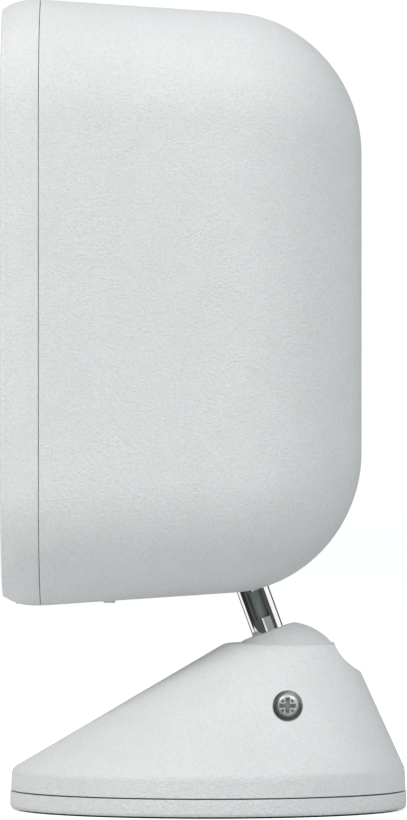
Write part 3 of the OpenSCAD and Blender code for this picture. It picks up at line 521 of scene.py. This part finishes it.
def finish_piece(name, bm, body, slot, *nodes, sharp=34):
    """Makes the finished object: outward faces, smooth with its sharp edges kept, riding on its body."""
    bmesh.ops.recalc_face_normals(bm, faces=bm.faces)
    obj = new_object(name, bm)
    for face in obj.data.polygons:
        face.use_smooth = True
    obj.data.set_sharp_from_angle(angle=radians(sharp))
    obj.data.materials.append(FINISH[slot])
    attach(obj, body)
    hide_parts(*nodes)
    print(name, len(obj.data.polygons), "faces on", body)


print("loft, turned and carve ready")

# %% [markdown]
# ## Places
# The seam between the two shells is where the head is measured from, and the ball's centre is where
# the stem and the base are measured from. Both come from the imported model.

# %% Places
seal_lo, seal_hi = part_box("housing_seal")
cover_lo, cover_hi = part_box("front_cover")
housing_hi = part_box("rear_housing")[1]
half_w, half_h = cover_hi.x, (cover_hi.z - cover_lo.z) / 2
seam = Vector((0, (seal_lo.y + seal_hi.y) / 2, (cover_hi.z + cover_lo.z) / 2))
housing_d = housing_hi.y - seam.y
joints = {joint["name"]: joint for joint in record["behaviour"]["joints"]}
ball_centre = Vector(joints["pan"]["pos_m"])
stem_axis = Vector(joints["turn"]["axis"])
print("head", round(half_w / MM, 2), round(half_h / MM, 2), "depth", round(housing_d / MM, 2))
print("seam", seam, "ball", ball_centre)

# %% [markdown]
# ## Housing sections
# Every section of the head is the same rounded rectangle. In the straight part it only narrows by the
# mould's draft. Around the back it shrinks along a quarter turn until it ends in a narrow ridge.

# %% Sections
DRAFT, SIDE_DRAFT = tan(radians(3.85)), tan(radians(0.8))
CORNER_FULL = 0.985
CORNER_SHARE = 30 / 34 * CORNER_FULL
ROUND_D, ROUND_IN, RIDGE = 31.6 * MM, 32.7 * MM, 1.2 * MM
WALL, SEAM_GAP = 2.4 * MM, 0.14 * MM
CORNER_STEPS, SIDE_STEPS, TOP_STEPS = 20, 12, 2
LIP_RINGS, STRAIGHT_RINGS, BACK_RINGS = 3, 12, 32


def outline(w, h, r):
    """Points (x, z) of a rounded rectangle of half-sizes w and h, anticlockwise seen from the front."""
    points = []
    centres = ((w - r, h - r), (r - w, h - r), (r - w, r - h), (w - r, r - h))
    for q, (cx, cz) in enumerate(centres):
        for k in range(CORNER_STEPS + 1):
            a = (q + k / CORNER_STEPS) * pi / 2
            points.append(Vector((cx + r * cos(a), cz + r * sin(a))))
        nx, nz = centres[(q + 1) % 4]
        turn = (q + 1) * pi / 2
        target = Vector((nx + r * cos(turn), nz + r * sin(turn)))
        steps = TOP_STEPS if q % 2 == 0 else SIDE_STEPS
        last = points[-1].copy()
        points += [last.lerp(target, k / (steps + 1)) for k in range(1, steps + 1)]
    return points


def section(y, w, h, rounding=0.0):
    """A ring of points in the head's frame, y behind the seam."""
    share = CORNER_SHARE + (CORNER_FULL - CORNER_SHARE) * rounding
    return [seam + Vector((x, y, z)) for x, z in outline(w, h, w * share)]


def housing_rings(y0, inset, lip=0.0):
    """The rear housing's sections from y0 to its back, moved inwards by inset, with a rounded lip."""
    rings = []
    straight = housing_d - ROUND_D
    for k in range(LIP_RINGS if lip else 0):
        a = k / LIP_RINGS * pi / 2
        side = inset + lip * (1 - sin(a))
        rings.append(section(y0 + lip * (1 - cos(a)), half_w - side, half_h - side))
    first = y0 + lip
    for k in range(STRAIGHT_RINGS):
        y = first + (straight - first) * k / STRAIGHT_RINGS
        rings.append(section(y, half_w - y * SIDE_DRAFT - inset, half_h - y * DRAFT - inset))
    back_w = half_w - housing_d * SIDE_DRAFT
    for k in range(BACK_RINGS + 1):
        a = k / BACK_RINGS * pi / 2
        c = 1 - cos(a)
        y = straight + (ROUND_D - inset) * sin(a)
        rings.append(section(y, half_w - y * SIDE_DRAFT - inset - (back_w - inset - RIDGE) * c,
                             half_h - y * DRAFT - inset - (ROUND_IN - inset) * c, c))
    return rings


print("draft", round(DRAFT, 4), "back rounded over", ROUND_D / MM, "mm")

# %% [markdown]
# ## Rear housing
# One loft runs from the back along the outside, over the small lip at the seam, and back along the
# inside. Both ends are capped, which leaves a closed shell with a wall of 2.4 mm. The stem's hole and
# the hatch's recess are carved from it afterwards, because both go through the curved underside.

# %% Rear housing
HATCH_L, HATCH_W, HATCH_Y, RECESS_D = 16.75 * MM, 12 * MM, 17 * MM, 8 * MM
hatch_floor = half_h - HATCH_Y * DRAFT


def rounded_block(lo, hi, r, steps=5):
    """A block with its upright edges rounded."""
    bm = bmesh.new()
    bmesh.ops.create_cube(bm, size=1)
    size = Vector(hi) - Vector(lo)
    bmesh.ops.scale(bm, vec=size, verts=bm.verts)
    bmesh.ops.translate(bm, vec=Vector(lo) + size / 2, verts=bm.verts)
    upright = [e for e in bm.edges if abs(e.verts[0].co.z - e.verts[1].co.z) > size.z / 2]
    bmesh.ops.bevel(bm, geom=upright, offset=r, segments=steps, profile=0.5, affect="EDGES", material=-1)
    return bm


LIP, HOLE_R, HOLE_FROM, HOLE_TO, RECESS_CORNER = 0.12 * MM, 4.1 * MM, 10 * MM, 50 * MM, 0.15 * MM
outer = housing_rings(SEAM_GAP / 2, 0, lip=LIP)
inner = housing_rings(SEAM_GAP / 2, WALL)
housing = loft(outer[::-1] + inner)
print(len(outer), "outer rings,", len([e for e in housing.edges if e.is_boundary]), "open edges")
recess = rounded_block(seam + Vector((-HATCH_W / 2, HATCH_Y - HATCH_L / 2, -half_h - 5 * MM)),
                       seam + Vector((HATCH_W / 2, HATCH_Y + HATCH_L / 2, RECESS_D - hatch_floor)),
                       RECESS_CORNER)
stem_hole = turned([(0, HOLE_FROM), (HOLE_R, HOLE_FROM), (HOLE_R, HOLE_TO), (0, HOLE_TO)],
                   along(ball_centre, stem_axis))
housing = carve(housing, recess, stem_hole)
finish_piece("housing_shell", housing, "head", "shell_white", "rear_housing")

# %% [markdown]
# ## Front cover
# The cover's edge falls in slowly before it turns a small radius into the face, and the face itself
# is slightly crowned. One loft runs from the middle of the face, over the edge to the seam, and back
# along the inside. The openings are carved with tools that flare at the mouth, which leaves a small
# chamfer that catches light as a moulded edge does.

# %% Front cover
CROWN, EDGE_DROP, EDGE_R, COVER_T = 0.6 * MM, 2 * MM, 0.75 * MM, 2.2 * MM
face_y = cover_lo.y - seam.y + CROWN
edge_len = -face_y - EDGE_R
cavity_y = face_y + COVER_T
face_piece_y = face_y + 0.35 * MM - CROWN / 2
CROWN_RINGS, EDGE_RINGS, FALL_RINGS = 14, 6, 14


def cover_ring(e, inset):
    """A section of the cover, e in front of the seam."""
    return section(-e, half_w - inset, half_h - inset)


def edge_fall(e):
    """How far the cover's side has fallen in at e in front of the seam."""
    return EDGE_DROP * (e / edge_len) ** 3


rings = []
for i in range(CROWN_RINGS + 1):
    s = 1 - (i / CROWN_RINGS) ** 1.3
    rings.append(cover_ring(-face_y + CROWN * (1 - (1 - s) ** 2),
                            EDGE_DROP + EDGE_R + s * (half_w - 5 * MM)))
for i in range(1, EDGE_RINGS):
    a = (1 - i / EDGE_RINGS) * pi / 2
    rings.append(cover_ring(edge_len + EDGE_R * sin(a), EDGE_DROP + EDGE_R * (1 - cos(a))))
seam_e = SEAM_GAP / 2 + LIP
rings += [cover_ring(e, edge_fall(e)) for e in
          (edge_len + (seam_e - edge_len) * i / FALL_RINGS for i in range(FALL_RINGS + 1))]
rings += [cover_ring(SEAM_GAP / 2 + LIP * (1 - sin(a)), LIP * (1 - cos(a)))
          for a in (pi / 6, pi / 3, pi / 2)]
rings += [section(y, half_w - WALL, half_h - WALL) for y in (-SEAM_GAP / 2, cavity_y)]
cover = loft(rings)


# A slot's ends are not quite half-circles, so that no two points of its outline are the same.
END_SLACK, OPENING_FROM, OPENING_TO = 0.01 * MM, -20 * MM, -5 * MM


def pill(w, h, y, z=0.0, inset=0.0):
    """A ring of points round a slot-ended face opening, y behind the seam."""
    r = min(w, h) / 2 - inset - END_SLACK
    return [seam + Vector((px, y, z + pz)) for px, pz in outline(w / 2 - inset, h / 2 - inset, r)]


def opening(w, h, z, flare=0.3 * MM):
    """A tool for an opening in the face, wider by flare at the mouth."""
    mouth = face_y - 0.15 * MM
    return loft([pill(w, h, OPENING_FROM, z, -flare), pill(w, h, mouth - flare, z, -flare),
                 pill(w, h, mouth, z), pill(w, h, OPENING_TO, z)])


# Each opening's width, height and height above the head's middle.
WINDOW, MOTION = (40 * MM, 52 * MM, 40 * MM), (24 * MM, 12 * MM, 1 * MM)
GRILLE = (30 * MM, 12 * MM, -56 * MM)
BUTTON_R, RING_W, GAP, BUTTON_Z = 12.8 * MM, 2.2 * MM, 0.3 * MM, -30 * MM
ring_out = BUTTON_R + GAP + RING_W
MIC, MIC_R, FACE_FIT = (20 * MM, -43 * MM), 0.8 * MM, 0.2 * MM
COVER_SCREW_HEAD_R, COVER_SCREW_HOLE_R = 2.4 * MM, 1.35 * MM


def face_axis(x, z, y=0.0):
    """A place in the head's frame whose Z runs into the head."""
    return along(seam + Vector((x, y, z)), (0, 1, 0))


def drill(r, start, end, place):
    """A round tool along a place's Z."""
    return turned([(0, start), (r, start), (r, end), (0, end)], place, steps=72)


screw_lo, screw_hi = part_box("cover_screw")
screw_at = (screw_lo + screw_hi) / 2
screw_down = along(Vector((0, screw_at.y, cover_lo.z)), (0, 0, 1))
cover = carve(cover, opening(*WINDOW), opening(*MOTION), opening(*GRILLE),
              opening(2 * ring_out + 0.1 * MM, 2 * ring_out + 0.1 * MM, BUTTON_Z),
              drill(MIC_R, -11 * MM, 0, face_axis(*MIC)),
              drill(COVER_SCREW_HEAD_R, -2 * MM, screw_lo.z - cover_lo.z + 1 * MM, screw_down),
              drill(COVER_SCREW_HOLE_R, -2 * MM, 8 * MM, screw_down))
finish_piece("front_shell", cover, "head", "cover_white", "front_cover")

# %% [markdown]
# ## What sits in the face
# The window, the motion sensor's lens, the call button in its ring and the speaker's grille are each a
# piece of their own, set a little below the crown of the face. The window is a smoked slab, and the
# camera sits in it behind a turned bezel and a shallow dome of glass.

# %% Window, bezel and lens
LENS_Z, BARREL_R, SLAB_EDGE_STEPS = 48 * MM, 7 * MM, 5


def face_slab(w, h, z, y, thickness, edge):
    """A slot-ended slab in the face with a rounded front edge."""
    rings = [pill(w, h, y + edge * (1 - sin(a)), z, edge * (1 - cos(a)))
             for a in (k / SLAB_EDGE_STEPS * pi / 2 for k in range(SLAB_EDGE_STEPS, -1, -1))]
    return loft(rings + [pill(w, h, y + thickness, z)])


pane = face_slab(WINDOW[0] - FACE_FIT, WINDOW[1] - FACE_FIT, WINDOW[2], face_piece_y, 1.6 * MM, 0.35 * MM)
pane = carve(pane, drill(BARREL_R + 1.9 * MM, -20 * MM, 0, face_axis(0, LENS_Z)))
finish_piece("smoked_window", pane, "head", "window_black", "lens_window")
front = face_axis(0, LENS_Z, face_piece_y)
rim = softened([(8.85 * MM, 0), (8.85 * MM, 2.6 * MM), (5.6 * MM, 2.6 * MM), (5.6 * MM, 1.4 * MM),
                (7.9 * MM, 0.15 * MM), (8.1 * MM, 0)],
               [0.25 * MM, 0, 0, 0.1 * MM, 0.1 * MM, 0.05 * MM], closed=True)
finish_piece("camera_bezel", turned(rim, front, closed=True), "head", "black_plastic", "lens_bezel")
DOME_R, DOME_W, DOME_RINGS = 12 * MM, 5.55 * MM, 16
dome = [(r, 0.6 * MM + DOME_R - sqrt(DOME_R ** 2 - r ** 2))
        for r in (DOME_W * k / DOME_RINGS for k in range(DOME_RINGS + 1))]
glass = turned(dome + [(DOME_W, 3.7 * MM), (0, 3.7 * MM)], front)
finish_piece("camera_glass", glass, "head", "lens_glass", "lens_glass")

# %% [markdown]
# ## Motion lens
# A motion sensor looks through a flat lens of stepped rings, which bends its view as a thick lens
# would. One loft makes the steps: each ring is drawn at two heights before the next one starts.

# %% Motion lens
w, h, z = MOTION[0] - FACE_FIT, MOTION[1] - FACE_FIT, MOTION[2]
STEPS, STEP_W, STEP_H = 7, 0.72 * MM, 0.11 * MM
rings = []
for k in range(STEPS, -1, -1):
    inset = 0.3 * MM + k * STEP_W
    rings.append(pill(w, h, face_piece_y - 0.02 * MM, z, inset))
    if k:
        rings.append(pill(w, h, face_piece_y + STEP_H, z, inset - 0.06 * MM))
rings += [pill(w, h, face_piece_y + 0.1 * MM, z, 0.08 * MM), pill(w, h, face_piece_y + 0.3 * MM, z)]
rings += [pill(w, h, cavity_y + 0.04 * MM, z), pill(w, h, cavity_y + 0.05 * MM, z, -1.5 * MM),
          pill(w, h, cavity_y + 1.05 * MM, z, -1.5 * MM), pill(w, h, cavity_y + 1.05 * MM, z, 1.2 * MM),
          pill(w, h, face_piece_y + 1 * MM, z, 1.2 * MM)]
finish_piece("motion_window", loft(rings), "head", "motion_white", "motion_lens", sharp=30)

# %% [markdown]
# ## Call button and its ring
# The button is turned with a shallow dish, which is an arc of a large circle, and a flange that keeps
# it from falling out of the cover. It rides on a body of its own, so it can be pressed. The light ring
# round it stays with the head.

# %% Call button and its ring
front = face_axis(0, BUTTON_Z, face_piece_y)
DISH_R, DISH_IN, DISH_RINGS = 60 * MM, 0.7 * MM, 20
dish_edge = sqrt(DISH_R ** 2 - (DISH_R - 0.6 * MM) ** 2)
dish = [(r, DISH_IN + sqrt(DISH_R ** 2 - r ** 2) - DISH_R)
        for r in (dish_edge * k / DISH_RINGS for k in range(DISH_RINGS))]
flange = 3.2 * MM
cap = [(dish_edge, 0.1 * MM), (BUTTON_R, 0.1 * MM), (BUTTON_R, flange), (ring_out - 1.3 * MM, flange),
       (ring_out - 1.3 * MM, flange + 1 * MM), (BUTTON_R - 1.2 * MM, flange + 1 * MM),
       (BUTTON_R - 1.2 * MM, 2.1 * MM), (2 * MM, 2.1 * MM), (2 * MM, 5.5 * MM), (0, 5.5 * MM)]
cap = softened([dish[-1]] + cap, [0, 0.8 * MM, 0.55 * MM] + [0.05 * MM] * 8, steps=6)
finish_piece("call_button_cap", turned(dish[:-1] + cap, front), "button", "cover_white", "call_button")
glow = softened([(BUTTON_R + GAP, 0), (ring_out, 0), (ring_out, 2.9 * MM), (BUTTON_R + GAP, 2.9 * MM)],
                [0.5 * MM, 0.5 * MM, 0.1 * MM, 0.1 * MM], steps=6, closed=True)
finish_piece("button_light_ring", turned(glow, front, closed=True), "head", "light_ring", "light_ring")

# %% [markdown]
# ## Speaker grille
# A slab with a grid of round holes, left out where the slab's ends are round. All the holes are one
# tool, so that the slab is carved once.

# %% Speaker grille
w, h, z = GRILLE[0] - FACE_FIT, GRILLE[1] - FACE_FIT, GRILLE[2]
holes = bmesh.new()
PITCH, SOUND_R, COLUMNS, ROWS = 2 * MM, 0.6 * MM, 6, 2
for i in range(-COLUMNS, COLUMNS + 1):
    for j in range(-ROWS, ROWS + 1):
        if abs(i) + abs(j) * 0.6 < COLUMNS + 0.3:
            at = seam + Vector((i * PITCH, face_y, z + j * PITCH))
            bmesh.ops.create_cone(holes, cap_ends=True, segments=20, radius1=SOUND_R, radius2=SOUND_R,
                                  depth=8 * MM, matrix=along(at, (0, 1, 0)))
grille = carve(face_slab(w, h, z, face_piece_y + 0.2 * MM, 1.2 * MM, 0.3 * MM), holes)
finish_piece("sound_grille", grille, "head", "black_plastic", "speaker_grille")

# %% [markdown]
# ## Base
# The base is a wedge: a low round rim and, above it, a slanting cone whose top circle lies over the
# ball, behind the middle. Circles that shrink and slide back make that cone exactly. The ball's seat,
# the notch and slot behind it, and the deep hole for the clamp screw are carved from it.

# %% Base shell
BASE_R, TOP_R, TOP_Z, RIM_Z = 49.1 * MM, 15.35 * MM, 41.45 * MM, 10.25 * MM
BASE_WALL, BALL_R, BALL_FIT = 3 * MM, 15 * MM, 0.08 * MM
ROUND_STEPS = 160
base_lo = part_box("base_shell")[0].z


def circle(r, z, y):
    """A level circle of points, y behind the middle."""
    return [Vector((r * cos(2 * pi * k / ROUND_STEPS), y + r * sin(2 * pi * k / ROUND_STEPS), z))
            for k in range(ROUND_STEPS)]


def wedge_profile(inset, top_soft, crease_soft, foot):
    """(radius, height, how far back) of the wedge's side from foot to top."""
    points = [(BASE_R + 0.2 * MM - inset, foot, 0), (BASE_R - inset, RIM_Z, 0),
              (TOP_R - inset, TOP_Z - inset, ball_centre.y), (0.3 * MM, TOP_Z - inset, ball_centre.y)]
    return softened(points, [0, crease_soft, top_soft, 0], steps=5)


def wedge(inset, foot, top_soft=0.0, crease_soft=0.0):
    """The wedge as a solid, moved inwards by inset, in circles at most 4 mm apart."""
    profile = wedge_profile(inset, top_soft, crease_soft, foot)
    full = []
    for a, b in zip(profile, profile[1:]):
        parts = max(1, round((b - a).length / (4 * MM)))
        full += [a.lerp(b, k / parts) for k in range(parts)]
    full.append(profile[-1])
    return loft([circle(p.x, p.y, p.z) for p in full])


shell = wedge(0, base_lo + 0.1 * MM, 0.9 * MM, 1.2 * MM)
CUP_R, BOSS_DOWN = BALL_R + BALL_FIT + 2.14 * MM, 17.3 * MM
bore_r = CUP_R + BALL_FIT
boss_foot = ball_centre.z - BOSS_DOWN
hollow = wedge(BASE_WALL, base_lo - 1 * MM)
up = Matrix.Translation((0, ball_centre.y, 0))
CLAMP_DROP, CLAMP_R, CLAMP_SEAT = 5 * MM, 3.72 * MM, 26 * MM
clamp_place = along(ball_centre - Vector((0, 0, CLAMP_DROP)), (1, 0, 0))
BOSS_WALL, TUNNEL_R, PAST_TOP, PAST_SIDE, SEAT_STEPS = 3.2 * MM, 5.5 * MM, 200 * MM, 60 * MM, 64
hollow = carve(hollow, drill(bore_r + BOSS_WALL, boss_foot, PAST_TOP, up),
               drill(TUNNEL_R, bore_r, PAST_SIDE, clamp_place))
arc = [(BALL_R + BALL_FIT) * Vector((cos(a), sin(a)))
       for a in (-pi / 2 + pi * k / SEAT_STEPS for k in range(SEAT_STEPS + 1))]
arc[0].x = arc[-1].x = 0
seat = turned(arc, Matrix.Translation(ball_centre), steps=128)
bore = drill(bore_r, boss_foot - 5 * MM, ball_centre.z + 1.7 * MM, up)
NOTCH_R, NOTCH_W, NOTCH_BACK, NOTCH_UP = 13.2 * MM, 22.4 * MM, 24.3 * MM, 14.4 * MM
notch_at = ball_centre + Vector((-NOTCH_W / 2, NOTCH_BACK, NOTCH_UP))
notch = turned(softened([(0, 0), (NOTCH_R, 0), (NOTCH_R, NOTCH_W), (0, NOTCH_W)], 1.2 * MM, steps=5),
               along(notch_at, (1, 0, 0)), steps=144)
SLOT_R, SLOT_FROM, SLOT_TO, FOLD, FOLD_TOP = 4.75 * MM, 12 * MM, 34 * MM, radians(62), radians(25)
corners = [(SLOT_FROM, FOLD), (SLOT_TO, FOLD), (SLOT_TO, FOLD_TOP), (SLOT_FROM, FOLD_TOP)]
sides = [[ball_centre + Vector((x, d * sin(a), d * cos(a))) for d, a in corners]
         for x in (-SLOT_R, SLOT_R)]
fold_slot = loft(sides)
slot_end = drill(SLOT_R, SLOT_FROM, SLOT_TO, along(ball_centre, (0, sin(FOLD), cos(FOLD))))
screw_bore = turned([(0, CLAMP_SEAT), (CLAMP_R, CLAMP_SEAT), (CLAMP_R, PAST_SIDE), (0, PAST_SIDE)],
                    clamp_place)
shell = carve(shell, hollow, seat, bore, notch, fold_slot, slot_end, screw_bore,
              drill(1.6 * MM, bore_r - 1 * MM, 40 * MM, clamp_place))
finish_piece("wedge_shell", shell, "base", "shell_white", "base_shell")

# %% [markdown]
# ## Base plate and foot
# Both are turned. The plate's upper edge stops a little short of the shell, which makes the dark line
# between them, and its lower edge is chamfered down to the rubber foot.

# %% Plate and foot
PLATE_OUT, FOOT_SHOW, FOOT_R, FOOT_T = BASE_R + 0.39 * MM, 0.45 * MM, 47.75 * MM, 1.18 * MM
seam_z = base_lo - 0.25 * MM
inner_r = BASE_R - BASE_WALL - GAP
FOOT_DEEP, PLATE_FLOOR, PLATE_TOP, PLATE_WALL = 1.2 * MM, 3.2 * MM, 6.8 * MM, 2 * MM
plate = softened([(0, FOOT_DEEP), (FOOT_R + 0.1 * MM, FOOT_DEEP), (FOOT_R + 0.1 * MM, FOOT_SHOW),
                  (BASE_R, FOOT_SHOW), (PLATE_OUT, FOOT_SHOW + 0.6 * MM), (PLATE_OUT, seam_z),
                  (inner_r, seam_z), (inner_r, PLATE_TOP), (inner_r - PLATE_WALL, PLATE_TOP),
                  (inner_r - PLATE_WALL, PLATE_FLOOR), (0, PLATE_FLOOR)],
                 [0, 0, 0, 0.15 * MM, 0.4 * MM, 0.2 * MM, 0, 0.2 * MM, 0.2 * MM, 0, 0], steps=5)
plate = turned(plate, steps=ROUND_STEPS)
INSERTS_APART, INSERT_HOLE_R, POST_HOLE_R = 60 * MM, 3.1 * MM, 3.0 * MM
insert_lo, insert_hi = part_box("mounting_inserts")
insert_x, post_ring = (insert_lo.x + insert_hi.x + INSERTS_APART) / 2, BASE_R - 8 * MM


def upright_hole(r, x, y):
    """A tool for a hole up through the foot and the plate."""
    return drill(r, -1 * MM, 9 * MM, Matrix.Translation((x, y, 0)))


def insert_holes():
    """Tools for the holes of the two mounting inserts."""
    return [upright_hole(INSERT_HOLE_R, side * insert_x, 0) for side in (-1, 1)]


post_holes = [upright_hole(POST_HOLE_R, post_ring * cos(a), post_ring * sin(a))
              for a in (radians(-90), radians(30), radians(150))]
finish_piece("base_ring", carve(plate, *insert_holes(), *post_holes), "base", "shell_white", "base_plate")
foot = turned(softened([(0, 0), (FOOT_R, 0), (FOOT_R, FOOT_T), (0, FOOT_T)], [0, 0.12 * MM, 0.1 * MM, 0]),
              steps=ROUND_STEPS)
finish_piece("rubber_sole", carve(foot, *insert_holes()), "base", "foot_rubber", "rubber_foot")

# %% [markdown]
# ## Ball
# The ball is turned about the stem's axis, with a flat where the stem comes out of it, a hole for the
# stem, and a wider pocket at its far end.

# %% Ball
FLAT_S, STEM_R, PIN_FIT = 13.35 * MM, 4 * MM, 0.05 * MM
stem_place = along(ball_centre, stem_axis)
hole = STEM_R + PIN_FIT
UNDER_R, UNDER_S, ARC_STEPS = 6.6 * MM, -9 * MM, 60
ARC_FROM, ARC_TO = radians(-63.9), radians(62.87)
sphere = [(BALL_R * cos(a), BALL_R * sin(a))
          for a in (ARC_FROM + (ARC_TO - ARC_FROM) * k / ARC_STEPS for k in range(ARC_STEPS + 1))]
top_r = sqrt(BALL_R ** 2 - FLAT_S ** 2)
collar = softened([sphere[-2], (top_r, FLAT_S), (hole, FLAT_S), (hole, UNDER_S), (UNDER_R, UNDER_S),
                   sphere[0]], [0, 0.3 * MM, 0.25 * MM, 0, 0, 0], steps=4)
ball = turned(sphere[:-2] + collar[:-1], stem_place, steps=128, closed=True)
finish_piece("swivel_ball", ball, "ball", "shell_white", "ball")

# %% [markdown]
# ## Stem
# The stem is a chromed tube with a window cut through it, in which the dark lead can be seen. The lead
# itself is a CAD piece.

# %% Stem
stem_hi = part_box("stem")[1]
STEM_WALL, STEM_FOOT, LEAN = 0.9 * MM, -11.4 * MM, radians(20)
stem_top = (stem_hi.z - ball_centre.z - STEM_R * sin(LEAN)) / cos(LEAN)
tube = softened([(STEM_R, STEM_FOOT), (STEM_R, stem_top), (STEM_R - STEM_WALL, stem_top),
                 (STEM_R - STEM_WALL, STEM_FOOT)], 0.15 * MM, closed=True)
tube = turned(tube, stem_place, steps=128, closed=True)
SLOT_W, SLOT_L, SLOT_S = 3.6 * MM, 7.1 * MM, 17.05 * MM
leaning = Matrix.Translation(ball_centre) @ Matrix.Rotation(LEAN, 4, "X")
window_tool = rounded_block((-10 * MM, -SLOT_W / 2, SLOT_S), (10 * MM, SLOT_W / 2, SLOT_S + SLOT_L),
                            0.01 * MM, 1)
bmesh.ops.transform(window_tool, matrix=leaning, verts=window_tool.verts)
finish_piece("stem_tube", carve(tube, window_tool), "head", "chrome", "stem")

# %% [markdown]
# ## Clamp screw
# The one screw that shows. Its pan head is turned, then a cross recess is carved into it with two
# blades that narrow as they go in, and four short marks are cut between the blades.

# %% Clamp screw
HEAD_R, HEAD_T, SHANK_R, SHANK_L = 2.8 * MM, 2.1 * MM, 1.5 * MM, 7 * MM
BLADE_TOP, BLADE_SHORT, BLADE_THIN = HEAD_T + 0.3 * MM, 0.6, 0.75
screw_place = along(clamp_place @ Vector((0, 0, CLAMP_SEAT)), (1, 0, 0))
head = softened([(0, HEAD_T), (HEAD_R * 0.8, HEAD_T), (HEAD_R, HEAD_T * 0.72), (HEAD_R, 0), (SHANK_R, 0),
                 (SHANK_R, -SHANK_L), (0, -SHANK_L)],
                [0, 0.5 * MM, 0.4 * MM, 0.1 * MM, 0, 0.3 * MM, 0], steps=6)
head = turned(head, screw_place)


def blade(length, width, depth, angle, inner=None):
    """A blade that narrows as it goes in, turned about the screw's axis. It crosses the axis, or
    starts at inner from it and keeps its length."""
    bm = bmesh.new()
    bmesh.ops.create_cube(bm, size=1)
    for v in bm.verts:
        deep = v.co.z < 0
        if inner is None:
            v.co.x *= length * (BLADE_SHORT if deep else 1)
        else:
            v.co.x = inner + length * (0.5 + v.co.x)
        v.co.y *= width * (BLADE_THIN if deep else 1)
        v.co.z = HEAD_T - depth if deep else BLADE_TOP
    bmesh.ops.transform(bm, matrix=screw_place @ Matrix.Rotation(angle, 4, "Z"), verts=bm.verts)
    return bm


blades = [blade(4.3 * MM, 1.1 * MM, 2.7 * MM, a) for a in (0, pi / 2)]
marks = [blade(0.75 * MM, 0.75 * MM, 1.3 * MM, pi / 4 + k * pi / 2, inner=1.3 * MM) for k in range(4)]
finish_piece("clamp_screw_head", carve(head, *blades, *marks), "base", "screw_steel", "clamp_screw")

# %% [markdown]
# ## Port hatch
# The hatch under the housing is a thin slab that follows the sloping floor, with a finger tab that
# stands a little proud. It is a copy of the CAD piece, merged and with its edges softened.

# %% Port hatch
MERGE, FLAT_WITHIN, RIM_ANGLE, RIM_SOFT = 1e-6, radians(1.5), radians(40), 0.1 * MM
hatch = bmesh.new()
hatch.from_mesh(frame["nodes"]["port_hatch"].data)
bmesh.ops.remove_doubles(hatch, verts=hatch.verts, dist=MERGE)
bmesh.ops.dissolve_limit(hatch, angle_limit=FLAT_WITHIN, verts=hatch.verts, edges=hatch.edges)
rims = [e for e in hatch.edges if len(e.link_faces) == 2 and e.calc_face_angle() > RIM_ANGLE]
bmesh.ops.bevel(hatch, geom=rims, offset=RIM_SOFT, segments=2, profile=0.5, affect="EDGES",
                material=-1, clamp_overlap=True)
finish_piece("port_door", hatch, "hatch", "shell_white", "port_hatch")
